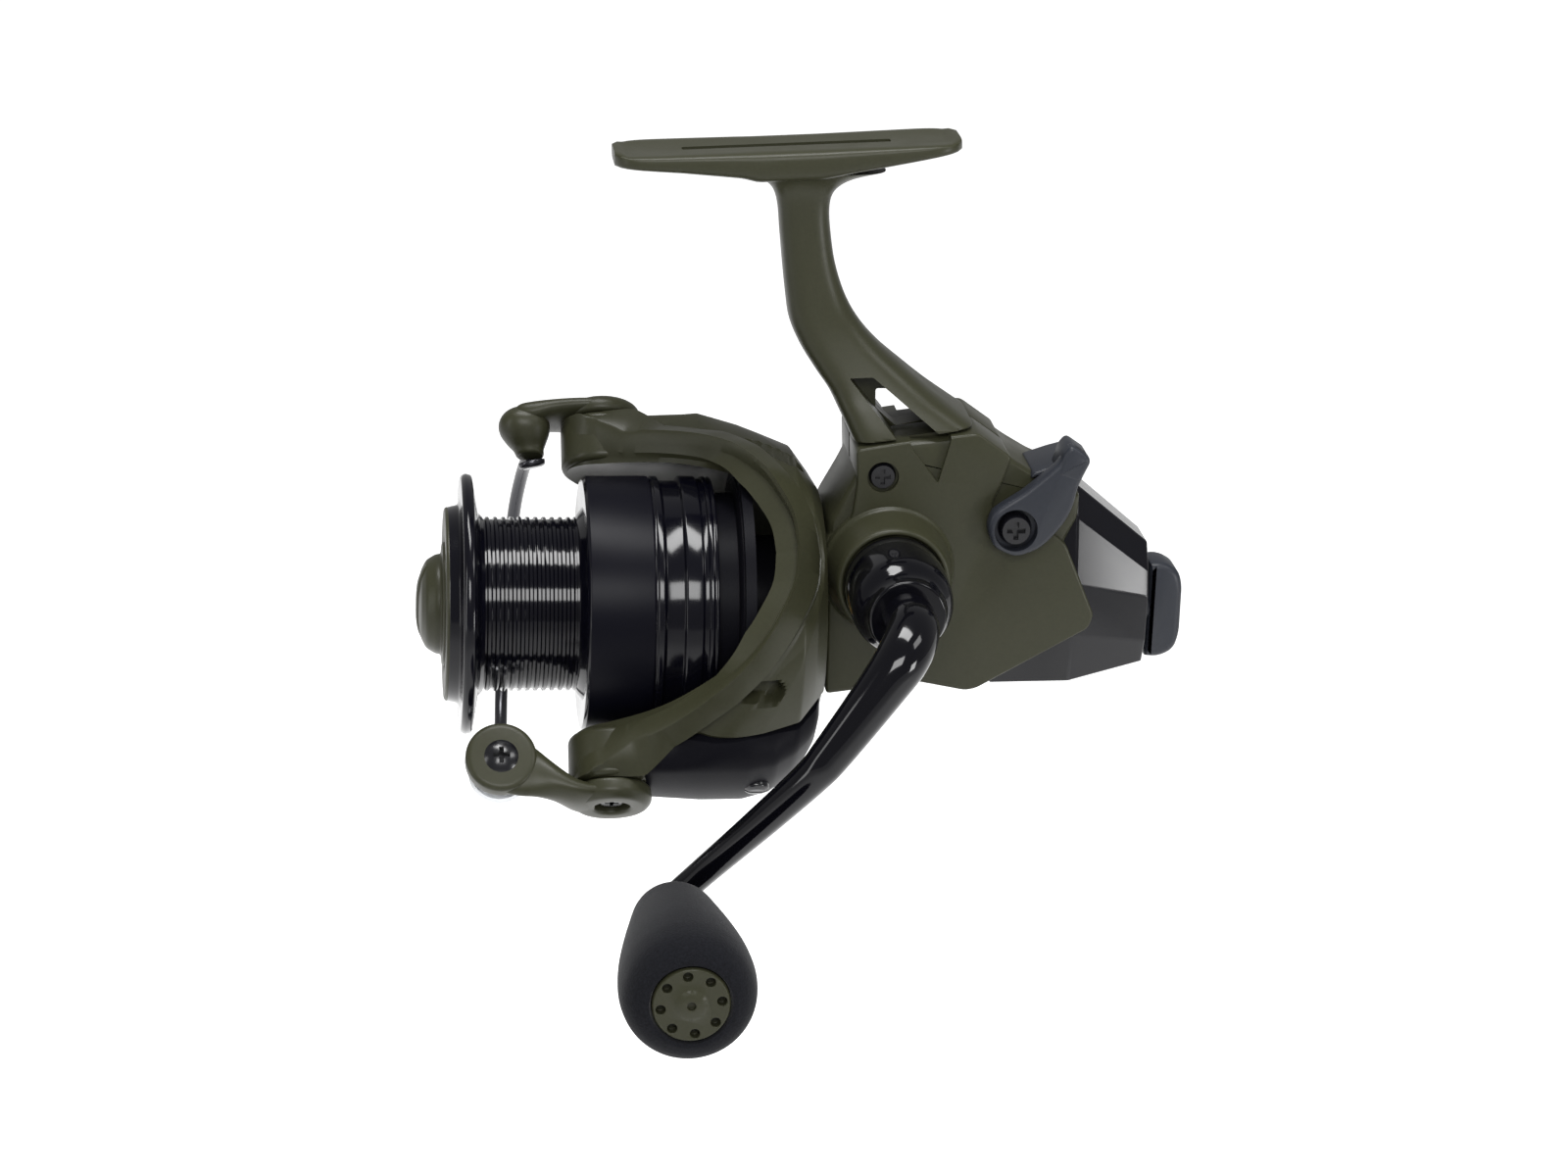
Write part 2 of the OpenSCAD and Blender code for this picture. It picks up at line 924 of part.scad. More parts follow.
module line_roller() {
    color(steel)
        down()
            roller_frame()
                rotate_extrude($fn = 72)
                    polygon([
                        [roller_bore / 2 + 0.6, -3.9], [roller_diameter / 2, -3.9],
                        [roller_diameter / 2 - 1, -2.6],
                        [roller_diameter / 2 - 1.2, -0.6], [roller_diameter / 2, 0.9],
                        [roller_bore / 2 + 0.6, 0.9]
                    ]);
}

module roller_bearing() {
    color(steel)
        down()
            roller_frame()
                difference() {
                    translate([0, 0, -3.7])
                        cylinder(r = roller_bore / 2 + 0.6, h = 4.4, $fn = 48);
                    translate([0, 0, -5])
                        cylinder(r = roller_bore / 2 - 1 + run_gap, h = 8, $fn = 40);
                }
}

module wire_cone() {
    color(steel)
        down()
            roller_frame()
                rotate_extrude($fn = 72)
                    polygon([[0, 1.8], [roller_bore / 2 - 1, 1.8], [roller_bore / 2 - 1, 1.2],
                        [5.6, 1.2], [5.9, 2.6], [5.2, 5], [3.6, 6.9], [1.6, 8], [0, 8]]);
}

// bail tube centre line: [x, along the arm direction, across it]
wire_path = [
    [cone_x, -roller_rad, 8.02], [cone_x, -roller_rad, 9.4],
    [cone_x - 0.6, -roller_rad + 1.2, 12], [bail_x - 0.6, -30, 20], [bail_x - 0.2, -25, 30],
    [bail_x, -18, 38.4], [bail_x, -9, 44.6], [bail_x, 0, 46.8], [bail_x, 9, 45.2], [bail_x, 17, 40],
    [bail_x - 0.4, 23.5, 31.6], [bail_x - 0.2, 28.6, 21], [bail_x + 1.6, 31.8, 10.6],
    [bail_x + 4.6, 33, 1.8]
];

function wire_point(p) = [p[0], p[2], p[1]];

module rod(a, b, r) {
    d = b - a;
    translate(a)
        rotate([0, acos(d[2] / norm(d)), atan2(d[1], d[0])])
            cylinder(r = r, h = norm(d), $fn = 28);
}

module bail_wire() {
    color(black)
        down()
            rotate([-arm_angle, 0, 0]) {
                for (i = [0:len(wire_path) - 2])
                    rod(wire_point(wire_path[i]), wire_point(wire_path[i + 1]), wire_diameter / 2);
                for (i = [1:len(wire_path) - 2])
                    translate(wire_point(wire_path[i]))
                        sphere(r = wire_diameter / 2 + 0.03, $fn = 28);
            }
}

module holder_lever() {
    color(olive)
        down()
            difference() {
                union() {
                    lever_eye(0);
                    rotate([-arm_angle, 0, 0]) {
                        difference() {
                            translate([0, 0, lever_r - 0.55])
                                linear_extrude(3.5)
                                    polygon([
                                        [pivot_x, -5.6], [pivot_x, 5.6], [bail_x + 7, 5.2],
                                        [bail_x + 3, 4.6],
                                        [bail_x + 0.8, 2.4], [bail_x + 0.8, -0.4], [bail_x + 3, -2.4],
                                        [bail_x + 7, -3]
                                    ]);
                            translate([pivot_x, 0, arm_in])
                                cylinder(r = boss_r - 1, h = 60, $fn = 48);
                        }
                        // stalk down to the end of the bail tube
                        translate([bail_x + 4.6, 1.2, 30.4])
                            cylinder(r1 = 2.2, r2 = 3.3, h = lever_r - 30.2, $fn = 48);
                    }
                }
                rotate([-arm_angle, 0, 0]) {
                    rod(wire_point(wire_path[len(wire_path) - 2]),
                        wire_point(wire_path[len(wire_path) - 1]), wire_diameter / 2 + 0.02);
                    translate(wire_point(wire_path[len(wire_path) - 2]))
                        sphere(r = wire_diameter / 2 + 0.05, $fn = 28);
                }
            }
}

// ---------------------------------------------------------------- drive and crank

module drive_gear() {
    color(brass)
        down()
            difference() {
                union() {
                    // wheel with face teeth toward the pinion
                    mirror([0, 1, 0])
                        ring_y(crank_x, crank_height, gear_y, gear_y + 2.6, gear_r, 3);
                    // hub tube
                    ring_y(crank_x, crank_height, -half_case - 1.6, boss_face - 1, hub_r, 3);
                    // small gear for the oscillation
                    ring_y(crank_x, crank_height, half_case - wall - 3, half_case - wall - 0.6,
                        drive_pinion_r, 3);
                }
                for (k = [0:drive_teeth - 1])
                    translate([crank_x, 0, crank_height])
                        rotate([0, k * 360 / drive_teeth, 0])
                            translate([9.4, gear_y - 0.5, -0.42])
                                cube([5, 1.4, 0.84]);
            }
}

module crank_bolt() {
    color(steel)
        down()
            along_y(crank_x, crank_height, -half_case - 1.6)
                cylinder(r = 2.95, h = boss_face + 6 + half_case + 1.6);
}

module crank_collar() {
    color(black)
        down()
            along_y(crank_x, crank_height, boss_face + part_gap)
                difference() {
                    rotate_extrude($fn = 96)
                        polygon([[0, 0], [9.6, 0], [9.6, 8], [9.2, 13.6], [8, 16], [7.2, 16.6],
                            [7.2, collar_end - boss_face - part_gap],
                        [0, collar_end - boss_face - part_gap]]);
                    translate([0, 0, -1])
                        cylinder(r = 2.95, h = 7 - part_gap);
                    // slot for the tongue of the arm
                    translate([-2.55, -12, 14])
                        cube([5.1, 24, 20]);
                }
}

arm_points = [
    [0, collar_end + 5.4], [10, collar_end + 11.5], [25, collar_end + 15.6], [31, collar_end + 15],
    [44, collar_end + 9.4], [60, collar_end + 1.6], [crank_length, collar_end - 1.6]
];
arm_sizes = [4.6, 3.9, 3.6, 3.5, 3.2, 2.9, 3.2];

function crank_point(p) = [crank_x - p[0] * sin(crank_angle), -p[1],
    crank_height - p[0] * cos(crank_angle)];

module taper(a, b, ra, rb) {
    d = b - a;
    translate(a)
        rotate([0, acos(d[2] / norm(d)), atan2(d[1], d[0])])
            cylinder(r1 = ra, r2 = rb, h = norm(d), $fn = 40);
}

module crank_arm() {
    color(black)
        down()
            difference() {
                union() {
                    // tongue held in the collar
                    translate([crank_x - 2.5, -collar_end - 4, crank_height - 5])
                        cube([5, 9, 10]);
                    along_y(crank_x, crank_height, collar_end + 0.2)
                        cylinder(r1 = 6.8, r2 = 5, h = 5.2);
                    for (i = [0:len(arm_points) - 2])
                        taper(crank_point(arm_points[i]), crank_point(arm_points[i + 1]), arm_sizes[i],
                            arm_sizes[i + 1]);
                    for (i = [0:len(arm_points) - 1])
                        translate(crank_point(arm_points[i]))
                            sphere(r = arm_sizes[i] + 0.06, $fn = 40);
                }
                // seat of the grip post
                along_y(grip_x, grip_z, collar_end - 3.5)
                    cylinder(r = 1.9, h = 20, $fn = 40);
            }
}

module crank_cap() {
    color(black)
        down()
            mirror([0, 1, 0])
                along_y(crank_x, crank_height, half_case + 3.5 + part_gap)
                    difference() {
                        cylinder(r1 = 8.4, r2 = 7.4, h = 4.4, $fn = 72);
                        for (k = [0:11])
                            rotate([0, 0, k * 30])
                                translate([8.6, 0, -1])
                                    cylinder(r = 0.8, h = 8, $fn = 20);
                    }
}

module grip_post() {
    color(steel)
        down()
            difference() {
                union() {
                    along_y(grip_x, grip_z, collar_end - 3.4)
                        cylinder(r = 1.88, h = grip_in - collar_end + 4.4, $fn = 40);
                    along_y(grip_x, grip_z, grip_in - 1.2)
                        cylinder(r = grip_post_diameter / 2, h = grip_length - 5.4, $fn = 48);
                }
                along_y(grip_x, grip_z, grip_out - 14)
                    cylinder(r = 1.1, h = 20, $fn = 32);
            }
}

module grip_screw() {
    color(steel)
        down()
            along_y(grip_x, grip_z, grip_out - 6.6)
                pan_screw(3.4, 1.2, 1.05, 6);
}

module grip() {
    color(black)
        down()
            along_y(grip_x, grip_z, grip_in)
                difference() {
                    rotate_extrude($fn = 96)
                        polygon([
                            [3.3, 0], [5.6, 0], [7.1, 1.1], [8.0, 3.2],
                            [grip_diameter * 0.36, 0.2 * grip_length],
                            [grip_diameter * 0.42, 0.4 * grip_length],
                            [grip_diameter * 0.47, 0.58 * grip_length],
                            [grip_diameter * 0.495, 0.72 * grip_length],
                            [grip_diameter * 0.5, 0.82 * grip_length],
                            [grip_diameter * 0.48, 0.91 * grip_length],
                            [grip_diameter * 0.42, 0.965 * grip_length],
                            [grip_diameter * 0.33, 0.995 * grip_length], [7.4, grip_length - 1.2],
                            [7.1, grip_length - 1.2], [7.1, grip_length - 5.6],
                            [4.2, grip_length - 5.6], [4.2, grip_length - 12], [3.4, grip_length - 12]
                        ]);
                    translate([0, 0, -1])
                        cylinder(r = 3.4, h = grip_length - 6);
                    translate([0, 0, -1])
                        cylinder(r = 4.2, h = 5.2);
                }
}

module grip_cap() {
    color(olive)
        down()
            along_y(grip_x, grip_z, grip_out - 2.8)
                difference() {
                    union() {
                        cylinder(r = 7.05, h = 2.2, $fn = 96);
                        translate([0, 0, 2.2])
                            cylinder(r1 = 7.05, r2 = 6.75, h = 0.6, $fn = 96);
                        translate([0, 0, 2.8])
                            cylinder(r1 = 3.1, r2 = 2.2, h = 0.5, $fn = 48);
                    }
                    for (k = [0:7])
                        rotate([0, 0, k * 45 + 8])
                            translate([5.5, 0, 1])
                                cylinder(r = 0.9, h = 4, $fn = 32);
                    translate([0, 0, 2.4])
                        cylinder(r = 0.8, h = 4, $fn = 32);
                }
}

module grip_bushes() {
    color(brass)
        down()
            for (y = [grip_in + 0.2, grip_out - 11.8])
                along_y(grip_x, grip_z, y)
                    difference() {
                        cylinder(r = 4.15, h = 3.6, $fn = 48);
                        translate([0, 0, -1])
                            cylinder(r = grip_post_diameter / 2 + run_gap, h = 8, $fn = 48);
                    }
}

// ---------------------------------------------------------------- oscillation and shaft

module oscillation_gear() {
    color(brass)
        down()
            difference() {
                union() {
                    ring_y(osc_x, osc_z, half_case - wall - 3, half_case - wall - 0.6, osc_r, 1.5);
                    // eccentric pin
                    along_y(block_x, osc_z - 6.24, split_y + 0.3)
                        cylinder(r = 1.5, h = half_case - wall - split_y - 3.2, $fn = 32);
                }
                for (k = [0:23])
                    translate([osc_x, 0, osc_z])
                        rotate([0, k * 15, 0])
                            translate([osc_r - 0.9, -half_case, -0.5])
                                cube([3, 10, 1]);
            }
}

module main_shaft() {
    color(steel)
        down()
            difference() {
                disc_x(lip_x - 5.4, 58.8, shaft_r);
                // flats for the keyed washers
                for (s = [-1, 1])
                    translate([lip_x - 6, s > 0 ? shaft_r - 0.4 : -shaft_r - 2 + 0.4, -5])
                        cube([14, 2, 10]);
            }
}

module crosswind_block() {
    color(steel)
        down()
            difference() {
                translate([block_x - 2.5, -split_y, -9.8])
                    cube([5, split_y + 4.4, 20.8]);
                // seat of the shaft
                disc_x(block_x - 9, block_x + 9, shaft_r);
                // guide rods pass through
                for (z = [-rod_z, rod_z])
                    translate([0, rod_y, z])
                        disc_x(block_x - 9, block_x + 9, 1.2 + run_gap, 32);
                // groove for the eccentric pin
                translate([block_x - 1.6, -9, -9])
                    cube([3.2, 5.4, 19]);
            }
}

module block_plate() {
    color(steel)
        down()
            difference() {
                translate([block_x + 2.5, -4.4, -5.4])
                    cube([1.2, 8.8, 10.8]);
                disc_x(block_x, block_x + 6, shaft_r);
            }
}

module spool_seat() {
    color(steel)
        down()
            ring_x(-30.2, -28.6, 6, shaft_r);
}

module click_wheel() {
    color(black)
        down()
            difference() {
                ring_x(-28.6, -26.6, 9, shaft_r);
                for (k = [0:17])
                    rotate([k * 20, 0, 0])
                        translate([-29, 8.2, -0.7])
                            cube([3, 2, 1.4]);
            }
}

module drag_steels() {
    color(steel)
        down()
            for (x = [lip_x + 4.4, lip_x + 7.4])
                ring_x(x, x + 1, 11.6, shaft_r);
}

// ---------------------------------------------------------------- spool group

module spool() {
    color(black)
        down()
            difference() {
                turned(concat(
                    [
                        [lip_x - 2.6, 16.6], [lip_x - 2.6, 18.6], [lip_x + 0.4, 18.8], [lip_x, lip_r - 0.5],
                        [lip_x + 0.5, lip_r], [lip_x + 1.4, lip_r], [lip_x + 2.2, lip_r - 0.5],
                        [arbor_x, arbor_r + 0.8], [arbor_x + 0.8, arbor_r]
                    ],
                    [for (k = [0:arbor_grooves - 1]) for (j = [0:3])
                        [
                            arbor_x + 0.8 + (arbor_length - 2) * (k + [0.1, 0.3, 0.7,
                                0.9][j]) / arbor_grooves,
                            arbor_r - [0, 0.4, 0.4, 0][j]
                        ]],
                    [
                        [arbor_x + arbor_length - 0.8, arbor_r],
                        [arbor_x + arbor_length + 0.4, arbor_r + 1.4],
                        [skirt_x + 0.4, arbor_r + 1.4], [skirt_x, skirt_r - 1], [skirt_x + 0.8, skirt_r],
                        [skirt_x + 12.4, skirt_r], [skirt_x + 12.8, skirt_r - 0.3],
                        [skirt_x + 13.4, skirt_r],
                        [skirt_x + 14.6, skirt_r], [skirt_x + 14.9, skirt_r - 0.9],
                        [skirt_x + 18, skirt_r - 0.9],
                        [skirt_x + 18.3, skirt_r], [skirt_x + 21.6, skirt_r],
                        [skirt_x + 21.9, skirt_r - 0.4],
                        [skirt_x + 22.9, skirt_r - 0.4], [skirt_x + 23.2, skirt_r],
                        [skirt_end, skirt_r - 0.2],
                        [skirt_end, skirt_in], [skirt_x + 2.2, skirt_in], [skirt_x + 2.2, arbor_r - 2.4],
                        [arbor_x + 12, arbor_r - 2.4], [arbor_x + 12, 8], [skirt_x + 2, 8],
                        [skirt_x + 2, 5],
                        [lip_x + 12.4, 5], [lip_x + 12.4, 12], [lip_x + 1, 12], [lip_x + 1, 14.8],
                        [lip_x - 1.8, 14.8],
                        [lip_x - 1.8, 16.6]
                    ]
                ), 120);
                // groove for the drag retaining clip
                ring_x(lip_x + 2, lip_x + 2.9, 12.7, 11);
            }
}

module spool_ring() {
    color(olive)
        down()
            turned([
                [lip_x - 2.6, 12.4], [lip_x - 3, 13.4], [lip_x - 3, 18.2], [lip_x - 2.6, 18.4],
                [lip_x - 2.6, 16.6],
                [lip_x - 1.8, 16.6], [lip_x - 1.8, 12.4]
            ]);
}

module spool_bush() {
    color(brass)
        down()
            ring_x(lip_x + 12.6, skirt_x + 2, 5, shaft_r + run_gap);
}

module drag_felts() {
    color([0.35, 0.3, 0.25])
        down()
            for (x = [lip_x + 3, lip_x + 5.6, lip_x + 8.6])
                ring_x(x, x + 1.4, 11.9, shaft_r + 0.3);
}

module drag_clip() {
    color(steel)
        down()
            difference() {
                ring_x(lip_x + 2.05, lip_x + 2.85, 12.6, 11.4);
                translate([lip_x, -1.5, 9])
                    cube([6, 3, 6]);
            }
}

module click_pawl() {
    color(steel)
        down()
            union() {
                translate([0, 0, 12.4])
                    ring_x(-28.4, -27, 1.5, 0.6, 32);
                translate([-28.4, -0.6, 9.4])
                    cube([1.4, 1.2, 1.8]);
            }
}

module drag_knob() {
    color(olive)
        down()
            difference() {
                union() {
                    turned([
                        [lip_x - 8.4, 0], [lip_x - 8.4, 4], [lip_x - 7.9, 6.4], [lip_x - 6.6, 8.4],
                        [lip_x - 4.4, drag_knob_diameter / 2], [lip_x - 3.3, drag_knob_diameter / 2],
                        [lip_x - 3.3, 11.9], [lip_x - 1.4, 11.9], [lip_x - 1.4, 4.6],
                        [lip_x - 2, 4.6], [lip_x - 2, 0]
                    ]);
                    // grip rib across the dome
                    rotate([12, 0, 0])
                        translate([lip_x - 8.4, -1.7, -8.6])
                            cube([5, 3.4, 17.2]);
                }
                disc_x(lip_x - 6, lip_x - 1, 4.6);
            }
}

module drag_nut() {
    color(brass)
        down()
            along_x(lip_x - 5.9)
                difference() {
                    cylinder(r = 4.6, h = 3, $fn = 6);
                    translate([0, 0, -1])
                        cylinder(r = shaft_r + run_gap, h = 6);
                }
}

module drag_spring() {
    color(steel)
        down()
            difference() {
                ring_x(lip_x - 2.8, lip_x + 2.8, 4.2, 3.4);
                for (k = [0:3])
                    translate([lip_x - 2 + k * 1.3, -6, 0])
                        rotate([0, 12, 0])
                            cube([0.5, 12, 12]);
            }
}

// ---------------------------------------------------------------- free-spool lever and rear clutch

module freespool_lever() {
    color(black)
        down()
            difference() {
                union() {
                    for (s = [0, 1])
                        mirror([0, s, 0]) {
                            along_y(lever_x, lever_z, half_case + part_gap)
                                cylinder(r = lever_ring, h = 4.2);
                            side_slab(half_case + part_gap, half_case + part_gap + 3.6)
                                polygon([
                                    [lever_x - 1.6, lever_z + 4.9], [lever_x + 4.4, lever_z - 2.7],
                                    [lever_x + 10.4, lever_z + 6.4],
                                    [lever_x + 12, lever_z + 12.6], [lever_x + 9.4, lever_z + 16.6],
                                    [lever_x + 4.2, lever_z + 13.6],
                                    [lever_x + 3, lever_z + 8.4]
                                ]);
                        }
                    // thumb bar across the top
                    side_slab(-half_case - part_gap - 3.6, half_case + part_gap + 3.6)
                        polygon([
                            [lever_x + 4.6, lever_z + 13.4], [lever_x + 8.8, lever_z + 17.6],
                            [lever_x + 13.2, lever_z + 14.2],
                            [lever_x + 11.4, lever_z + 9.8]
                        ]);
                }
                for (s = [0, 1])
                    mirror([0, s, 0]) {
                        along_y(lever_x, lever_z, half_case - 1)
                            cylinder(r = 2.5, h = 20, $fn = 48);
                        along_y(lever_x, lever_z, half_case + part_gap + 2)
                            cylinder(r = 3.4, h = 20, $fn = 48);
                    }
            }
}

module lever_spindles() {
    color(steel)
        down()
            for (s = [0, 1])
                mirror([0, s, 0])
                    difference() {
                        union() {
                            along_y(lever_x, lever_z, half_case - wall - 2)
                                cylinder(r = 2.5, h = wall + 2 + part_gap + 1.9, $fn = 48);
                            // cam lobe inside the case
                            side_slab(half_case - wall - 2, half_case - wall - 0.4)
                                polygon([
                                    [lever_x - 2, lever_z - 1.5], [lever_x + 2, lever_z - 1.5],
                                    [lever_x + 2.6, lever_z - 4.4],
                                    [lever_x + 1, lever_z - 4.8]
                                ]);
                        }
                        along_y(lever_x, lever_z, half_case - wall + 0.2)
                            cylinder(r = 1.2, h = 20, $fn = 32);
                    }
}

module lever_screws() {
    color(black)
        down()
            for (s = [0, 1])
                mirror([0, s, 0])
                    along_y(lever_x, lever_z, half_case + part_gap + 2)
                        pan_screw(3.2, 1.9, 1.15, 3.6);
}

module clutch_drum() {
    color(brass)
        down()
            difference() {
                union() {
                    ring_x(58.6, 62, 7.5, shaft_r + run_gap);
                    disc_x(62, 63.6, 4.6);
                }
                for (k = [0:9])
                    rotate([k * 36, 0, 0])
                        translate([58, 6.6, -0.8])
                            cube([3, 2, 1.6]);
            }
}

module clutch_felts() {
    color([0.35, 0.3, 0.25])
        down()
            for (x = [63.9, 66])
                disc_x(x, x + 1.2, 6.4);
}

module rear_knob() {
    color(black)
        down() {
            difference() {
                intersection() {
                    translate([case_end + part_gap, -4.4, -9.8])
                        cube([6.4, 8.8, 19.6]);
                    side_slab(-10, 10)
                        translate([case_end + part_gap - 4, 0])
                            offset(r = 2.4)
                                square([16, 14.8], center = true);
                }
                // side panels
                for (s = [0, 1])
                    mirror([0, s, 0])
                        side_slab(3.8, 6)
                            translate([case_end + part_gap + 0.6, -7.6])
                                square([4.4, 15.2]);
            }
            disc_x(case_end + part_gap - 4.8, case_end + part_gap + 0.2, 4);
        }
}

body_frame();
side_cover();
rear_cover();
cover_screws();
rear_cover_screws();
clutch_ring();
clutch_plate();
pinion_bearing_front();
pinion_bearing_rear();
drive_bearings();
guide_rods();
pinion();
clutch_sleeve();
rotor();
rotor_nut();
arm_cover();
arm_cover_screw();
bail_pivot_screws();
bail_spring();
trip_lever();
roller_lever();
holder_lever();
bail_wire();
wire_cone();
roller_screw();
line_roller();
roller_bearing();
drive_gear();
crank_bolt();
crank_collar();
crank_arm();
crank_cap();
grip_post();
grip_screw();
grip();
grip_cap();
grip_bushes();
oscillation_gear();
main_shaft();
crosswind_block();
block_plate();
spool_seat();
click_wheel();
drag_steels();
spool();
spool_ring();
spool_bush();
drag_felts();
drag_clip();
click_pawl();
drag_knob();
drag_nut();
drag_spring();
freespool_lever();
lever_spindles();
lever_screws();
clutch_drum();
clutch_felts();
rear_knob();
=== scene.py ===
import bmesh
import bpy
import math
import numpy as np
from mathutils import Matrix, Vector


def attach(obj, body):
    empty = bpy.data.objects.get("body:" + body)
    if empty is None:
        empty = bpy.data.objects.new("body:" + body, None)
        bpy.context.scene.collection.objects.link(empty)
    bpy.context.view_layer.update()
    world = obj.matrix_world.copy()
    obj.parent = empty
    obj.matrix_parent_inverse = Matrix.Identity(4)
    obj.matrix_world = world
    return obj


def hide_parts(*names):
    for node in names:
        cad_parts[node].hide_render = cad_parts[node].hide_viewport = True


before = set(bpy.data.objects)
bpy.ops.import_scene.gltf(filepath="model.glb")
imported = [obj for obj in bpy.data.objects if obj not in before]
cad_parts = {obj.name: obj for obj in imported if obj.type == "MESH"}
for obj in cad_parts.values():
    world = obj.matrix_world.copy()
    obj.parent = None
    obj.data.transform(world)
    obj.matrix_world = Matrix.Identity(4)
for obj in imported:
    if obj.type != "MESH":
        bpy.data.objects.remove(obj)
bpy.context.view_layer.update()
MM = 0.001
SPOOL_Z = -91.0  # height of the spool axis below the top of the foot, in millimetres


# ------------------------------------------------------------------ camera and light

def aim(obj, place, target, roll=0.0):
    """Puts obj at place, looking along its -Z at target, turned by roll about that line."""
    back = (Vector(place) - Vector(target)).normalized()
    right = Vector((0, 0, 1)).cross(back).normalized()
    up = back.cross(right)
    right = right * math.cos(roll) + up * math.sin(roll)
    turn = Matrix((right, back.cross(right), back)).transposed().to_4x4()
    turn.translation = Vector(place)
    obj.matrix_world = turn


scene = bpy.context.scene
camera = bpy.data.objects.new("camera", bpy.data.cameras.new("camera"))
scene.collection.objects.link(camera)
scene.camera = camera
CAMERA_AT, CAMERA_TARGET, CAMERA_ROLL = (-0.08835, -0.76354, 0.17097), (0.0027, 0.0, -0.0878), 2.178
camera.data.sensor_width = 36.0
camera.data.lens = 96.75
camera.data.clip_end = 20.0
aim(camera, CAMERA_AT, CAMERA_TARGET, math.radians(CAMERA_ROLL))

scene.view_settings.view_transform = "Standard"
WORLD_STRENGTH = 0.42
world = bpy.data.worlds.new("studio")
scene.world = world
world.use_nodes = True
world.node_tree.nodes["Background"].inputs["Color"].default_value = (1.0, 1.0, 1.0, 1)
world.node_tree.nodes["Background"].inputs["Strength"].default_value = WORLD_STRENGTH


def softbox(name, place, target, size, power):
    """A white oblong light of that size in metres and power in watts."""
    data = bpy.data.lights.new(name, "AREA")
    data.shape = "RECTANGLE"
    data.size, data.size_y = size
    data.energy = power
    o = bpy.data.objects.new(name, data)
    scene.collection.objects.link(o)
    aim(o, place, target)


softbox("overhead", (-0.05, -0.06, 0.62), (0, 0, -0.09), (0.55, 0.19), 9.0)
softbox("front", (-0.06, -0.70, 0.33), (0, 0, -0.09), (0.42, 0.22), 5.5)
softbox("side_left", (-0.80, -0.30, 0.06), (-0.04, 0, -0.09), (0.16, 0.6), 2.2)
softbox("side_right", (0.72, -0.62, -0.10), (0.06, 0, -0.08), (0.22, 0.22), 3.8)
softbox("upper_right", (0.50, -0.30, 0.45), (0.04, 0, -0.08), (0.3, 0.2), 2.0)


# ------------------------------------------------------------------ materials

NOISE_LOW, NOISE_HIGH = 0.3, 0.7  # the part of a noise value that is spread over a range
VARY_SCALE = 0.08  # how much coarser the change in roughness is than the grain
BUMP_DEPTH = 0.0001


def noise(nt, coords, scale, detail):
    """Noise of that scale and detail over Object coordinates; gives back its value."""
    n = nt.nodes.new("ShaderNodeTexNoise")
    n.inputs["Scale"].default_value = scale
    n.inputs["Detail"].default_value = detail
    nt.links.new(coords, n.inputs["Vector"])
    return n.outputs["Fac"]


def spread(nt, value, low, high):
    """The middle part of a noise value, spread from low to high."""
    r = nt.nodes.new("ShaderNodeMapRange")
    r.inputs["From Min"].default_value = NOISE_LOW
    r.inputs["From Max"].default_value = NOISE_HIGH
    r.inputs["To Min"].default_value = low
    r.inputs["To Max"].default_value = high
    nt.links.new(value, r.inputs["Value"])
    return r.outputs["Result"]


def material(name, color, rough=0.5, metal=0.0, spec=0.5, grain=0.0, grain_scale=900.0,
             bump=0.0, bump_scale=600.0, sheen=0.0, rough_vary=0.0):
    """A plain surface: base colour times 1 - grain to 1 + grain, roughness plus or minus rough_vary, and a
    fine bump, each by its own noise in Object coordinates."""
    m = bpy.data.materials.new(name)
    m.use_nodes = True
    nt = m.node_tree
    p = nt.nodes["Principled BSDF"]
    p.inputs["Base Color"].default_value = (*color, 1)
    p.inputs["Roughness"].default_value = rough
    p.inputs["Metallic"].default_value = metal
    p.inputs["Specular IOR Level"].default_value = spec
    p.inputs["Sheen Weight"].default_value = sheen
    coords = nt.nodes.new("ShaderNodeTexCoord").outputs["Object"]
    if grain > 0:
        mix = nt.nodes.new("ShaderNodeVectorMath")
        mix.operation = "SCALE"
        mix.inputs[0].default_value = color
        value = noise(nt, coords, grain_scale, 4.0)
        nt.links.new(spread(nt, value, 1 - grain, 1 + grain), mix.inputs["Scale"])
        nt.links.new(mix.outputs["Vector"], p.inputs["Base Color"])
    if rough_vary > 0:
        value = noise(nt, coords, grain_scale * VARY_SCALE, 3.0)
        low, high = max(0.02, rough - rough_vary), rough + rough_vary
        nt.links.new(spread(nt, value, low, high), p.inputs["Roughness"])
    if bump > 0:
        b = nt.nodes.new("ShaderNodeBump")
        b.inputs["Strength"].default_value = bump
        b.inputs["Distance"].default_value = BUMP_DEPTH
        nt.links.new(noise(nt, coords, bump_scale, 3.0), b.inputs["Height"])
        nt.links.new(b.outputs["Normal"], p.inputs["Normal"])
    return m


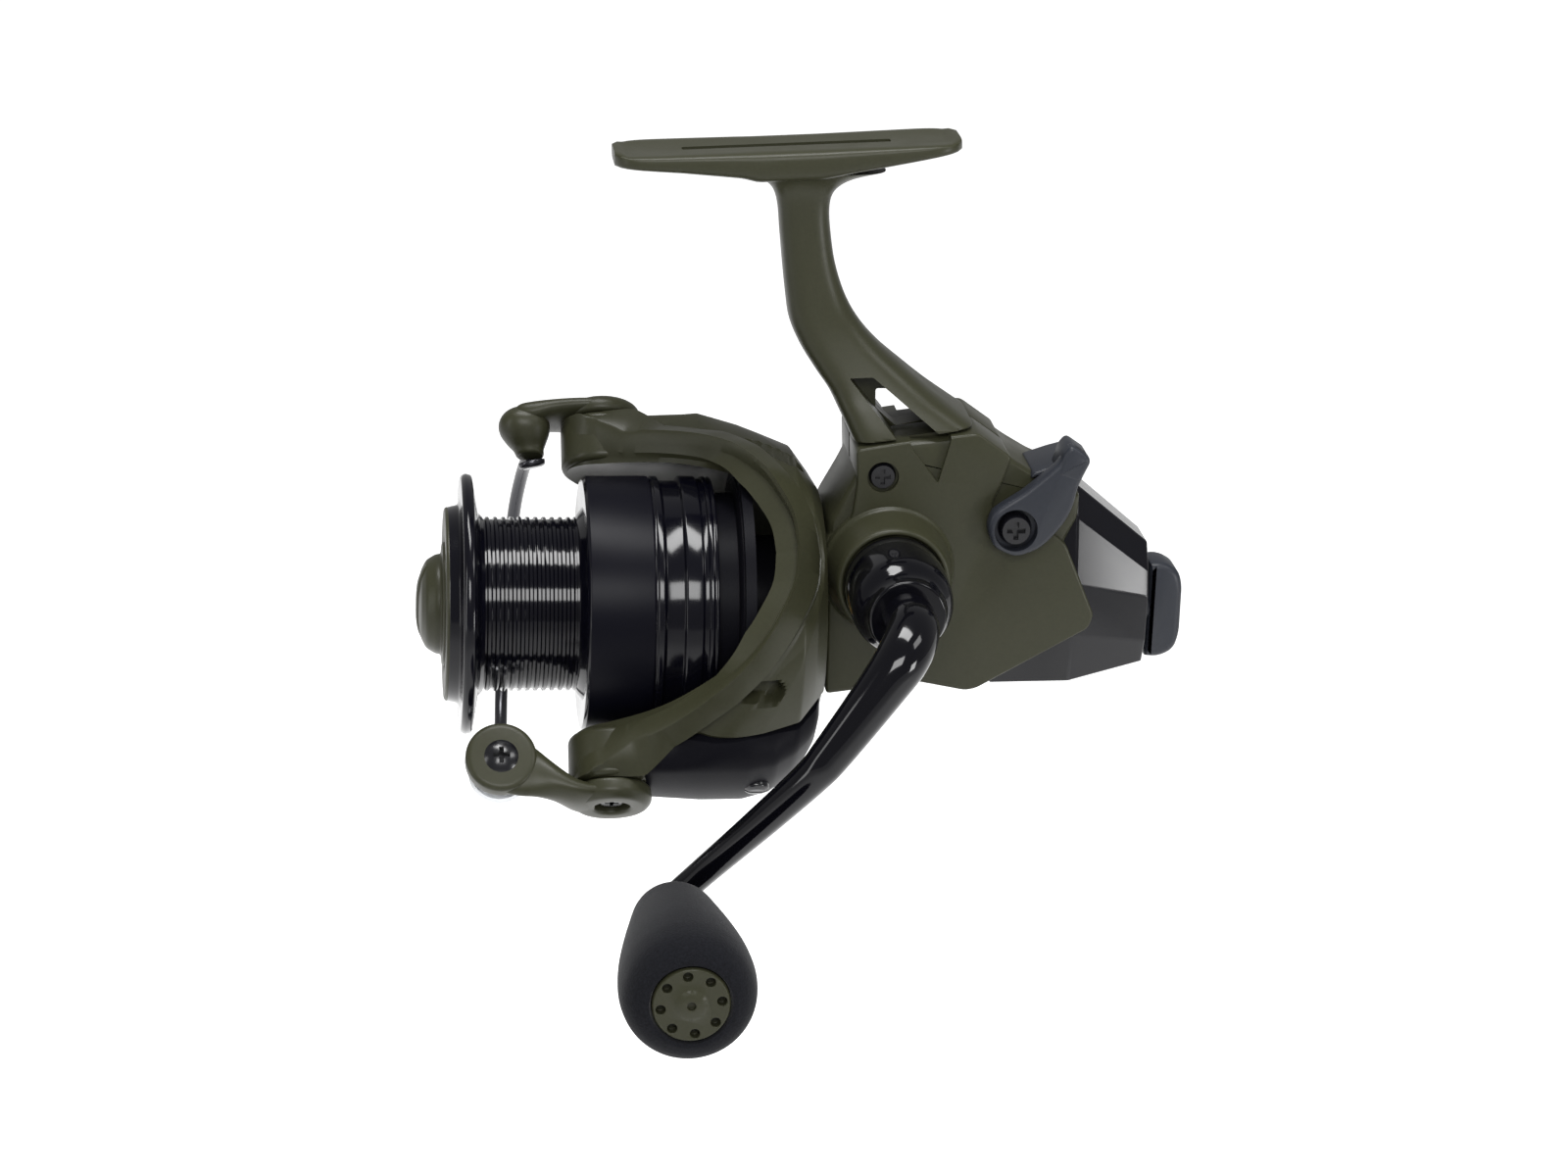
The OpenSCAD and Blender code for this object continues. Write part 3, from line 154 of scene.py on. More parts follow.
MAT = {
    "olive": material("olive_paint", (0.0172, 0.0175, 0.0094), rough=0.38, spec=0.15, rough_vary=0.04,
                      grain=0.05, grain_scale=1500, bump=0.12, bump_scale=2500),
    "gloss": material("black_gloss", (0.0012, 0.0012, 0.0020), rough=0.09, spec=0.2, rough_vary=0.02),
    "spool": material("black_anodised", (0.0012, 0.0012, 0.0026), rough=0.12, spec=0.2, rough_vary=0.03,
                      grain_scale=700),
    "skirt": material("skirt_satin", (0.0012, 0.0012, 0.0028), rough=0.36, spec=0.06, rough_vary=0.03,
                      grain_scale=700),
    "moulded": material("black_moulded", (0.0012, 0.0012, 0.0022), rough=0.16, spec=0.24, rough_vary=0.02),
    "satin": material("black_satin", (0.0028, 0.0028, 0.0040), rough=0.42, spec=0.03,
                      grain=0.05, bump=0.1, bump_scale=2500),
    "grey": material("dark_grey", (0.0098, 0.0112, 0.0150), rough=0.40, spec=0.2,
                     grain=0.05, bump=0.1, bump_scale=2500),
    "screw": material("black_oxide", (0.003, 0.003, 0.004), rough=0.22, spec=0.35),
    "foam": material("foam", (0.0038, 0.0040, 0.0053), rough=0.95, spec=0.05, sheen=0.05,
                     grain=0.35, grain_scale=2600, bump=0.9, bump_scale=2400),
    "wire": material("gun_metal", (0.020, 0.020, 0.024), rough=0.22, metal=0.6),
    "chrome": material("chrome", (0.62, 0.63, 0.65), rough=0.12, metal=1.0),
    "cone": material("satin_silver", (0.42, 0.43, 0.44), rough=0.30, metal=0.85),
    "steel": material("steel", (0.45, 0.45, 0.47), rough=0.3, metal=1.0),
    "brass": material("brass", (0.62, 0.45, 0.18), rough=0.3, metal=1.0),
    "felt": material("felt", (0.12, 0.09, 0.06), rough=0.95, grain=0.3, grain_scale=1800),
}
LOOK = {
    "olive": "body_frame side_cover rotor roller_lever holder_lever spool_ring drag_knob grip_cap",
    "gloss": "rear_cover crank_collar crank_arm crank_cap",
    "spool": "spool",
    "satin": "arm_cover click_wheel",
    "grey": "freespool_lever rear_knob",
    "screw": "cover_screws rear_cover_screws arm_cover_screw bail_pivot_screws roller_screw lever_screws",
    "foam": "grip",
    "wire": "bail_wire",
    "chrome": "wire_cone line_roller roller_bearing",
    "steel": "clutch_ring clutch_plate pinion_bearing_front pinion_bearing_rear drive_bearings guide_rods "
             "clutch_sleeve bail_spring trip_lever crank_bolt grip_post grip_screw main_shaft block_plate "
             "spool_seat drag_steels drag_clip click_pawl drag_spring lever_spindles crosswind_block",
    "brass": "pinion rotor_nut drive_gear grip_bushes oscillation_gear spool_bush drag_nut clutch_drum",
    "felt": "drag_felts clutch_felts",
}
for look, names in LOOK.items():
    for node in names.split():
        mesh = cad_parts[node].data
        mesh.materials.clear()
        mesh.materials.append(MAT[look])


# ------------------------------------------------------------------ shapes
# Lengths from here on are millimetres, with z counted from the spool axis; put() turns them into metres.

ARM_ANGLE = math.radians(40)
ARM_OUT = np.array([0, math.sin(ARM_ANGLE), math.cos(ARM_ANGLE)])
ARM_SIDE = np.array([0, -math.cos(ARM_ANGLE), math.sin(ARM_ANGLE)])
X = np.array([1.0, 0, 0])
Y = np.array([0, 1.0, 0])
Z = np.array([0, 0, 1.0])
TINY = 1e-9
MERGE = 2e-6  # metres, the distance below which two vertices of a mesh are one


def join(*shapes):
    """Several shapes as one: their vertices one after the other, faces renumbered."""
    verts, faces, start = [], [], 0
    for v, f in shapes:
        verts.append(v)
        faces += [tuple(k + start for k in q) for q in f]
        start += len(v)
    return np.concatenate(verts), faces


def grid(p, around=True, closed=False):
    """Quads between neighbouring points of p[i, j]; around joins the last j to the first, closed the last i
    to the first, and an open end gets one face."""
    m, n = p.shape[:2]
    i = np.arange(m if closed else m - 1)[:, None]
    j = np.arange(n if around else n - 1)[None, :]
    i2, j2 = (i + 1) % m, (j + 1) % n
    f = np.stack([i * n + j, i * n + j2, i2 * n + j2, i2 * n + j], -1).reshape(-1, 4).tolist()
    if around and not closed:
        f += [list(range(n)), list(range((m - 1) * n, m * n))]
    return p.reshape(-1, 3), f


def curve(points, n):
    """n points on the smooth curve through the given ones: between two points it is the cubic whose slope
    at each is half the step from the point before to the point after."""
    p = np.array(points, float)
    p = np.vstack([2 * p[0] - p[1], p, 2 * p[-1] - p[-2]])
    t = np.linspace(0, len(points) - 1.000001, n)
    k = t.astype(int)
    u = (t - k)[:, None]
    a, b, c, d = p[k], p[k + 1], p[k + 2], p[k + 3]
    return 0.5 * (2 * b + (c - a) * u + (2 * a - 5 * b + 4 * c - d) * u ** 2
                  + (3 * b - a - 3 * c + d) * u ** 3)


def rounded(points, radius, n=5, closed=False):
    """The polyline with each corner replaced by n points of a parabola that starts and ends radius from the
    corner, or half a side where that is shorter."""
    p = np.array(points, float)
    r = np.broadcast_to(radius, len(p))
    before, after = np.roll(p, 1, 0) - p, np.roll(p, -1, 0) - p
    lb = np.maximum(np.linalg.norm(before, axis=1), TINY)
    la = np.maximum(np.linalg.norm(after, axis=1), TINY)
    cut_off = np.minimum(r, 0.49 * np.minimum(lb, la))
    a = p + before / lb[:, None] * cut_off[:, None]
    c = p + after / la[:, None] * cut_off[:, None]
    t = np.linspace(0, 1, n)[None, :, None]
    q = (1 - t) ** 2 * a[:, None] + 2 * t * (1 - t) * p[:, None] + t ** 2 * c[:, None]
    if closed:
        return q.reshape(-1, p.shape[1])
    return np.vstack([p[:1], q[1:-1].reshape(-1, p.shape[1]), p[-1:]])


def turned(profile, origin, axis, n=96):
    """A turned solid: profile point (along, radius) goes round the axis; radius 0 at both ends closes it at
    poles, and equal ends make it a ring."""
    axis = np.array(axis, float)
    side = Z if abs(axis[2]) < 0.8 else X
    u = np.cross(axis, side)
    u /= np.linalg.norm(u)
    v = np.cross(axis, u)
    t = np.linspace(0, 2 * np.pi, n, endpoint=False)
    s, r = np.array(profile, float).T
    p = np.array(origin, float) + s[:, None, None] * axis + r[:, None, None] * (
        np.cos(t)[None, :, None] * u + np.sin(t)[None, :, None] * v)
    ring = np.allclose(profile[0], profile[-1])
    return grid(p[:-1] if ring else p, True, ring)


def loft(centres, u, v, a, b, sides=40, power=2.0):
    """Rings about the centres: point j is centre + u a cos(t)^(2/power) + v b sin(t)^(2/power), signs kept,
    so power 2 gives ellipses and more gives flatter sides."""
    t = np.linspace(0, 2 * np.pi, sides, endpoint=False)
    e = 2 / np.broadcast_to(power, len(centres))[:, None]
    c = np.sign(np.cos(t)) * np.abs(np.cos(t)) ** e
    s = np.sign(np.sin(t)) * np.abs(np.sin(t)) ** e
    a, b = np.broadcast_to(a, len(centres)), np.broadcast_to(b, len(centres))
    p = centres[:, None] + (a[:, None] * c)[..., None] * u + (b[:, None] * s)[..., None] * v
    return grid(p)


def tube(path, radius, up, sides):
    """A round rod along path: each ring is square to the path, and each end is a half ball."""
    p = np.array(path, float)
    r = np.broadcast_to(radius, len(p)).astype(float)
    t = np.gradient(p, axis=0)
    t /= np.linalg.norm(t, axis=1)[:, None]
    a = np.radians([88, 70, 52, 35, 17])
    p = np.vstack([p[0] - t[0] * (np.sin(a) * r[0])[:, None], p,
                   p[-1] + t[-1] * (np.sin(a[::-1]) * r[-1])[:, None]])
    r = np.concatenate([np.cos(a) * r[0], r, np.cos(a[::-1]) * r[-1]])
    t = np.vstack([np.repeat(t[:1], len(a), 0), t, np.repeat(t[-1:], len(a), 0)])
    u = up - (t @ up)[:, None] * t
    u /= np.linalg.norm(u, axis=1)[:, None]
    v = np.cross(t, u)
    return loft(p, u[:, None], v[:, None], r, r, sides)


def slab(outline, y0, y1, edge, plane=(X, Z), out=Y, origin=(0, 0, 0)):
    """A plate of that closed outline from y0 to y1 along out; its rims are rounded by shrinking the outline
    by edge (1 - sin a) while the depth grows by edge (1 - cos a)."""
    p = np.array(outline, float)
    ahead, back = np.roll(p, -1, 0) - p, p - np.roll(p, 1, 0)
    tangent = ahead / np.linalg.norm(ahead, axis=1)[:, None] + back / np.linalg.norm(back, axis=1)[:, None]
    normal = np.stack([tangent[:, 1], -tangent[:, 0]], 1)
    normal /= np.linalg.norm(normal, axis=1)[:, None]
    x, z = p.T
    if (x * np.roll(z, -1) - np.roll(x, -1) * z).sum() < 0:
        normal = -normal
    a = np.radians([0, 30, 60, 90])
    inset = np.concatenate([edge * (1 - np.sin(a)), edge * (1 - np.sin(a[::-1]))])
    depth = np.concatenate([y0 + edge * (1 - np.cos(a)), y1 - edge * (1 - np.cos(a[::-1]))])
    q = p[None] - normal[None] * inset[:, None, None]
    flat = np.array(origin, float) + q[..., :1] * plane[0] + q[..., 1:] * plane[1]
    return grid(flat + depth[:, None, None] * out)


def place(v):
    """Millimetres from the spool axis to metres in the frame."""
    return (v + np.array([0, 0, SPOOL_Z])) * MM


def shade(mesh, sharp):
    """Smooth shading, with edges of more than sharp degrees kept sharp."""
    mesh.shade_smooth()
    mesh.set_sharp_from_angle(angle=math.radians(sharp))


def shape_mesh(name, shape, sharp):
    """A mesh of the shape in metres, its doubles merged and its faces turned outward."""
    mesh = bpy.data.meshes.new(name)
    mesh.from_pydata(place(shape[0]).tolist(), [], shape[1])
    bm = bmesh.new()
    bm.from_mesh(mesh)
    bmesh.ops.remove_doubles(bm, verts=bm.verts, dist=MERGE)
    bmesh.ops.dissolve_degenerate(bm, edges=bm.edges, dist=MERGE / 2)
    bmesh.ops.recalc_face_normals(bm, faces=bm.faces)
    bm.to_mesh(mesh)
    bm.free()
    shade(mesh, sharp)
    return mesh


def put(name, shape, look, body, stands_for=(), sharp=38):
    """A finished piece: shape in millimetres, its material, the body it rides on and the CAD nodes it
    stands for."""
    mesh = shape_mesh(name, shape, sharp)
    mesh.materials.append(MAT[look])
    o = bpy.data.objects.new(name, mesh)
    scene.collection.objects.link(o)
    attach(o, body)
    if stands_for:
        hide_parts(*stands_for)
    return o


def bevelled(o, width, angle):
    """Rounds the edges of more than angle degrees by width millimetres."""
    b = o.modifiers.new("edges", "BEVEL")
    b.width = width * MM
    b.segments = 2
    b.limit_method = "ANGLE"
    b.angle_limit = math.radians(angle)
    return b


def softened(node, name, look, body, width, sharp=32):
    """A copy of a CAD node with its edges rounded by width millimetres."""
    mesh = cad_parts[node].data.copy()
    bm = bmesh.new()
    bm.from_mesh(mesh)
    bmesh.ops.remove_doubles(bm, verts=bm.verts, dist=MERGE)
    bmesh.ops.dissolve_limit(bm, angle_limit=math.radians(0.8), verts=bm.verts, edges=bm.edges)
    bm.to_mesh(mesh)
    bm.free()
    mesh.materials.clear()
    mesh.materials.append(MAT[look])
    shade(mesh, sharp)
    o = bpy.data.objects.new(name, mesh)
    scene.collection.objects.link(o)
    b = bevelled(o, width, sharp)
    b.use_clamp_overlap = False
    b.harden_normals = True
    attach(o, body)
    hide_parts(node)


def cut(piece, *cutters):
    """Takes the cutters out of the piece and leaves a plain mesh."""
    for shape in cutters:
        o = bpy.data.objects.new("cutter", shape_mesh("cutter", shape, 40))
        scene.collection.objects.link(o)
        b = piece.modifiers.new("cut", "BOOLEAN")
        b.operation, b.object, b.solver = "DIFFERENCE", o, "EXACT"
        made = bpy.data.meshes.new_from_object(piece.evaluated_get(bpy.context.evaluated_depsgraph_get()))
        piece.modifiers.clear()
        piece.data = made
        shade(made, 35)
        bpy.data.objects.remove(o)


# ------------------------------------------------------------------ rotor

PIVOT_X = -31.5  # the bail's pivot axis
REAR_X = 8.6  # rear rim of the rotor
SHELL_MEAN = 32  # radius at which distances round the shell are measured
PER_DEGREE = SHELL_MEAN * math.pi / 180


def arm_place(side, x, out, across):
    """A point by its x, its distance out along the arm (side 1 upper, -1 lower) and its distance toward the
    crank side."""
    x, out, across = np.broadcast_arrays(x, out, across)
    return x[..., None] * X + (side * out)[..., None] * ARM_OUT + across[..., None] * ARM_SIDE


def shell_radius(x, d):
    """Outer radius of the rotor at x, d degrees from the middle of the nearer arm: the crown of the arm,
    falling evenly to the lower shell between the angles near and far."""
    crown = np.interp(x, [-45, -13.7, -6.3, 3.4, 8.6], [37.2, 37.6, 34.8, 30.6, 22.8])
    low = np.interp(x, [-45, -20, -9, -3, 3.7, 6.4, 8.6], [32.4, 32.4, 33.0, 32.0, 29.2, 26.4, 22.7])
    near = np.interp(x, [-20, -5, 8], [11, 17, 24])
    far = np.interp(x, [-20, -5, 8], [19, 38, 60])
    return low + (crown - low) * np.clip((far - d) / (far - near), 0, 1)


def inner_radius(x):
    """Radius of the inside of the shell at x."""
    return np.interp(x, [-7, -3, 2.2, 8.0], [27.2, 26.4, 24.6, 20.8])


def pressed(x, d, a, b, w0, w1):
    """1 inside a slot from a to b, half width w0 growing to w1 millimetres, 0 outside, with an edge half a
    millimetre wide; a and b are x and degrees."""
    ax, ay = a[0], a[1] * PER_DEGREE
    vx, vy = b[0] - ax, b[1] * PER_DEGREE - ay
    u = np.clip(((x - ax) * vx + (d * PER_DEGREE - ay) * vy) / (vx * vx + vy * vy), 0, 1)
    away = np.hypot(x - ax - u * vx, d * PER_DEGREE - ay - u * vy)
    return np.clip((w0 + (w1 - w0) * u - away) / 0.5 + 0.5, 0, 1)


def rotor_edge():
    """The front edge of the shell from the middle of an arm to half way to the other: round the boss, then
    along the arm and over the back, as x and degrees from the arm; and the same line drawn back by the
    width of the rail."""
    a = np.radians(np.linspace(0, 74, 12))
    boss = np.stack([PIVOT_X - 7.9 * np.cos(a), 7.9 * np.sin(a)], 1)
    side = curve([boss[-1], (-26, 11.8), (-19.5, 16.6), (-9, 26.4), (-4.4, 31.9), (-1.4, 36.9), (1.4, 43.4),
                  (2.2, 50.3)], 90)
    line = np.vstack([boss, side[1:]])
    t = np.gradient(line, axis=0)
    t[-1] = (0, 1)
    t /= np.linalg.norm(t, axis=1)[:, None]
    inward = np.stack([t[:, 1], -t[:, 0]], 1)
    width = np.interp(line[:, 0], [-39, -33, -28], [1.2, 2.6, 5.2])
    back = line + inward * width[:, None]
    per_mm = math.degrees(1 / SHELL_MEAN)
    return line[:, 0], line[:, 1] * per_mm, back[:, 0], np.maximum(back[:, 1] * per_mm, 0)


def rotor_shell():
    """One closed sheet: over the outside from the rear rim to the rail, across the rail, down the edge and
    back along the inside; the section is carried round the spool axis through four mirrored quarters."""
    xe, de, xb, db = rotor_edge()
    k = np.linspace(0, 1, 61)[:, None]
    rise = np.interp(xe, [-38, -30], [0, 1])
    outside_x = REAR_X + (xb - REAR_X) * k
    outside_d = np.broadcast_to(db, outside_x.shape)
    outside_r = shell_radius(outside_x, outside_d) - 0.7 * rise * np.clip((k - 0.5) / 0.4, 0, 1)
    slot = pressed(outside_x, outside_d, (-12.5, 30.0), (3.2, 45.0), 0.6, 1.8)
    pocket = pressed(outside_x, outside_d, (-13.0, 38.6), (-2.6, 37.0), 0.8, 2.3)
    across = np.array([0.05, 0.1, 0.5, 0.93, 1.0])[:, None]
    step_x = xb + (xe - xb) * across
    step_d = db + (de - db) * across
    base = shell_radius(xb, db)
    rim = shell_radius(xe, np.maximum(de, db + 1))
    step_r = np.stack([base - 0.7 * rise, base + 0.8 * rise, 0.5 * (base + rim) + 1.0 * rise,
                       rim + 1.0 * rise, rim + 0.2 * rise])
    reach = 3.6 * np.interp(xe, [-14, -4], [0, 1])
    end = inner_radius(xe)
    lip_x = np.stack([xe + 0.2, xe - reach, xe + 0.9 - reach, xe + 0.9])
    lip_r = np.stack([rim - 1.6, 0.35 * rim + 0.65 * end, 0.3 * rim + 0.7 * end - 0.6,
                      inner_radius(xe + 0.9)])
    lip_d = np.stack([de] * 4)
    back_x = (xe + 0.9) + (REAR_X - 0.4 - xe - 0.9) * k[1:]
    back_d = np.broadcast_to(de, back_x.shape)
    px = np.vstack([outside_x, step_x, lip_x, back_x])
    pr = np.vstack([outside_r, step_r, lip_r, inner_radius(back_x)])
    pd = np.vstack([outside_d, step_d, lip_d, back_d])
    quarters = []
    for q, start in enumerate((0, 180, 180, 360)):
        ahead = q % 2 == 0
        cols = slice(None, -1) if ahead else slice(None, 0, -1)
        r = pr.copy()
        r[:len(k)] -= 3.0 * (pocket if ahead else slot)
        if 0 < q < 3:  # the lower arm is set back under its cover
            under = np.clip((22 - outside_d) / 2.5, 0, 1) * np.clip((outside_x + 25.6) / 0.6, 0, 1)
            r[:len(k)] -= 1.8 * under
        quarters.append((px[:, cols], r[:, cols], start + (1 if ahead else -1) * pd[:, cols]))
    x, r, d = (np.concatenate([q[i] for q in quarters], 1) for i in range(3))
    angle = ARM_ANGLE + np.radians(d)
    p = np.stack([x, r * np.sin(angle), r * np.cos(angle)], -1)
    return grid(p.transpose(1, 0, 2), True, True)


def arm_boss(side):
    """Round boss at the front of an arm, with a small chamfer under the lever."""
    profile = rounded([(27.3, 0), (27.3, 7.4), (28.2, 8), (36.4, 8), (37.1, 7.3), (37.1, 0)], 0.5, 4)
    return turned(profile, (PIVOT_X, 0, 0), side * ARM_OUT, 72)


def rotor_inside():
    """Hub, web and sleeve behind the spool."""
    hub = [(-12.4, 4.1), (-12.4, 7.4), (-10.4, 7.4), (-10.4, 19.8), (-19.6, 19.8), (-20, 20.2), (-20, 21.4),
           (-8, 21.4), (-7.4, 24.4), (-5.4, 24.4), (-5.4, 20.4), (-8, 20.4), (-8, 4.1), (-12.4, 4.1)]
    sleeve = [(-6, 11.8), (-6, 13.2), (6, 13.2), (6, 11.8), (-6, 11.8)]
    web = [(-7.2, 23), (-7.2, 26.4), (-5.2, 26.4), (-5.2, 23), (-7.2, 23)]
    return join(*(turned(part, (0, 0, 0), X, 120) for part in (hub, web, sleeve)))


put("rotor_body", rotor_shell(), "olive", "rotor_group", ["rotor"], 30)
put("rotor_bosses", join(arm_boss(1), arm_boss(-1)), "olive", "rotor_group", sharp=30)
# The hub, web and sleeve get the black satin instead of the rotor's olive: painted shade for the dark inside
# of the rotor behind the spool.
put("rotor_drum_painted_shade", rotor_inside(), "satin", "rotor_group", sharp=30)


def cover_shell():
    """Black cover of the lower arm: a crown above the shell's own surface, between two edges that part
    towards the rear, with a turned-down rim; the height falls from the crown to the edges by a parabola."""
    s = np.linspace(0, 1, 50)
    x = -26 + 34 * s
    half = np.interp(x, [-26, -24.5, -14.8, -6.8, 0, 5, 8], [15.5, 18, 21, 21.6, 20.6, 18.4, 15.5])
    t = np.concatenate([[-1, -1], np.linspace(-0.98, 0.98, 41), [1, 1]])
    rim = shell_radius(x, half)[:, None] + 0.3
    crown = np.interp(x, [-26, -20, -14, -6, -1, 3, 6, 8], [37.2, 37.5, 37.8, 37.7, 36.4, 33.6, 30.0, 26.6])
    blend = np.clip((1 - np.abs(t)) / 0.42, 0, 1)[None]
    ends = np.interp(s, [0, 0.01, 0.025, 0.975, 0.99, 1], [-1.6, -0.2, 0, 0, -0.3, -1.6])
    r = rim + np.maximum(crown[:, None] - rim, 0) * blend * (2 - blend) + ends[:, None]
    r[:, [0, -1]] -= 1.6
    angle = ARM_ANGLE + np.pi + np.radians(t[None] * half[:, None])
    xx = np.broadcast_to(x[:, None], r.shape)
    top = np.stack([xx, r * np.sin(angle), r * np.cos(angle)], -1)
    ri = np.minimum(rim, r) - 1.7
    under = np.stack([xx, ri * np.sin(angle), ri * np.cos(angle)], -1)
    return grid(np.concatenate([top, under[:, ::-1]], 1))


put("arm_cover_shell", cover_shell(), "satin", "rotor_group", ["arm_cover"], 28)
COVER_SCREW_AT = (PIVOT_X + 27.5, 0, 0)
cover_screw_profile = rounded([(31.2, 0), (31.2, 1.0), (35.4, 1.0), (35.4, 2.4), (37.7, 2.4), (38.2, 1.6),
                               (38.25, 0)], 0.3, 4)
cover_screw = put("arm_cover_screw_slotted", turned(cover_screw_profile, COVER_SCREW_AT, -ARM_OUT, 48),
                  "screw", "rotor_group", ["arm_cover_screw"], 35)
screw_slot = [(-3, -0.35), (3, -0.35), (3, 0.35), (-3, 0.35)]
cut(cover_screw, slab(screw_slot, 37.4, 39, 0.02, (X, ARM_SIDE), -ARM_OUT, COVER_SCREW_AT))


# ------------------------------------------------------------------ bail

CONE_X, ROLLER_OUT = -52.5, 33.5
EYE_OUT = 37.45  # where the eyes of the levers stand on the arm bosses


def lever_eye_shape(side, hole):
    """Round eye of a bail lever; the roller side has a deep round recess over its screw."""
    if hole:
        profile = rounded([(EYE_OUT, 3.3), (EYE_OUT, 7.5), (EYE_OUT + 2.6, 7.6), (EYE_OUT + 3.9, 6.5),
                           (EYE_OUT + 3.9, 3.4), (EYE_OUT + 1.0, 3.3), (EYE_OUT, 3.3)], 0.7, 5)
    else:
        profile = rounded([(EYE_OUT, 0), (EYE_OUT, 7.5), (EYE_OUT + 2.4, 7.6), (EYE_OUT + 3.9, 5.6),
                           (EYE_OUT + 4.0, 0)], 1.2, 6)
    return turned(profile, (PIVOT_X, 0, 0), side * ARM_OUT, 72)


def lever_body(side, stations):
    """Loft along x from stations of (x, out, across, half height, half width), smoothed between them."""
    s = curve(stations, 40)
    c = arm_place(side, s[:, 0], s[:, 1], s[:, 2])
    return loft(c, side * ARM_OUT, ARM_SIDE, s[:, 3], s[:, 4], 40, 2.4)


def roller_lever_shape():
    """Eye, waisted body, round plate over the line roller and the pin through it."""
    disc = rounded([(-8.0, 0), (-8.0, 5.9), (-7.5, 6.7), (-4.6, 6.7), (-4.2, 6.2), (-4.2, 0)], 0.5, 4)
    centre = arm_place(-1, CONE_X, ROLLER_OUT, 0)
    body = lever_body(-1, [(-57, 33.5, 6.1, 2.4, 1.7), (-55.5, 33.6, 6.1, 5.2, 1.85),
                           (-50, 34.4, 6.0, 6.1, 1.9), (-46, 35.9, 5.3, 4.7, 2.3),
                           (-42.5, 37.4, 4.0, 3.4, 3.8), (-39, 38.9, 1.9, 2.5, 5.6),
                           (-36.4, 39.4, 0.6, 2.0, 6.5), (-34.8, 39.4, 0.2, 1.8, 6.6)])
    pin = turned([(-4.4, 0), (-4.4, 1), (1.8, 1), (1.8, 0)], centre, -ARM_SIDE, 32)
    return join(lever_eye_shape(-1, True), turned(disc, centre, -ARM_SIDE, 72), body, pin)


def holder_lever_shape():
    """Eye, arched body and the pear-shaped stalk that holds the end of the wire."""
    body = lever_body(1, [(-49.2, 38.2, 0.8, 0.8, 2.2), (-47.6, 38.6, 0.7, 1.8, 4.2),
                          (-45, 38.6, 0.5, 2.4, 5.2), (-41, 39.2, 0.2, 2.1, 6.0), (-36.5, 39.35, 0, 2.0, 6.9),
                          (-33, 39.35, 0, 1.95, 7.1)])
    drop = curve([(-46.2, 40.2, 0.7, 0.4), (-46.2, 39.9, 0.7, 2.9), (-46.4, 38.9, 0.6, 4.3),
                  (-46.6, 37.2, 0.6, 4.95), (-46.5, 35.4, 0.4, 4.8), (-46.2, 33.6, 0.1, 3.9),
                  (-45.8, 32.2, -0.3, 3.0), (-45.5, 31.0, -0.6, 2.6), (-45.5, 30.8, -0.6, 1.6)], 44)
    line = arm_place(1, drop[:, 0], drop[:, 1], drop[:, 2])
    stalk = loft(line, X, ARM_SIDE, drop[:, 3], drop[:, 3] * 0.95, 48, 2.2)
    return join(lever_eye_shape(1, False), body, stalk)


put("roller_lever_cast", roller_lever_shape(), "olive", "bail", ["roller_lever"], 40)
put("holder_lever_cast", holder_lever_shape(), "olive", "bail", ["holder_lever"], 40)

# the line of the wire: x, out along the upper arm, away from the crank side
WIRE = [(CONE_X, -ROLLER_OUT, 7.6), (CONE_X, -ROLLER_OUT, 9.4), (-52.0, -32.3, 12), (-51.4, -30, 20),
        (-51.0, -25, 30), (-50.6, -18, 38.4), (-50.0, -9, 44.6), (-49.6, 0, 46.8), (-49.0, 9, 45.2),
        (-48.6, 17, 40), (-48.2, 23.5, 31.6), (-47.6, 28.6, 21), (-46.6, 31.4, 10.6), (-45.6, 32.0, 1.8)]
WIRE_RADIUS = 1.28
wire_line = curve([(x, a, -m) for x, a, m in WIRE], 110)
wire_path = arm_place(1, wire_line[:, 0], wire_line[:, 1], wire_line[:, 2])
put("bail_wire_bent", tube(wire_path, WIRE_RADIUS, X, 24), "wire", "bail", ["bail_wire"], 50)
cone_profile = [(1.2, 0), (1.2, 5.4), (1.7, 5.8)] + [
    (1.7 + 6.5 * math.sin(a), 0.9 + 4.9 * math.cos(a) ** 0.8) for a in np.radians([5, 15, 27, 40, 55, 70, 82])
] + [(8.3, 1.2), (8.3, 0)]
cone_at = arm_place(-1, CONE_X, ROLLER_OUT, 0)
put("wire_cone_turned", turned(cone_profile, cone_at, -ARM_SIDE, 72), "cone", "bail", ["wire_cone"], 45)
tip_at = arm_place(1, np.array(-45.5), np.array(31.2), np.array(-0.6))
tip_axis = arm_place(1, np.array(0.2), np.array(-0.95), np.array(-0.3))
tip_profile = rounded([(1.2, 0), (1.2, 2.7), (2.2, 2.6), (2.6, 2.0), (2.6, 0)], 0.3, 4)
put("holder_tip_ring", turned(tip_profile, tip_at, tip_axis / np.linalg.norm(tip_axis), 40), "wire", "bail",
    sharp=45)


# ------------------------------------------------------------------ spool and front drag

LIP_X = -59.6  # front face of the spool's lip
SKIRT = (-35.9, -23.9)  # the satin part of the skirt


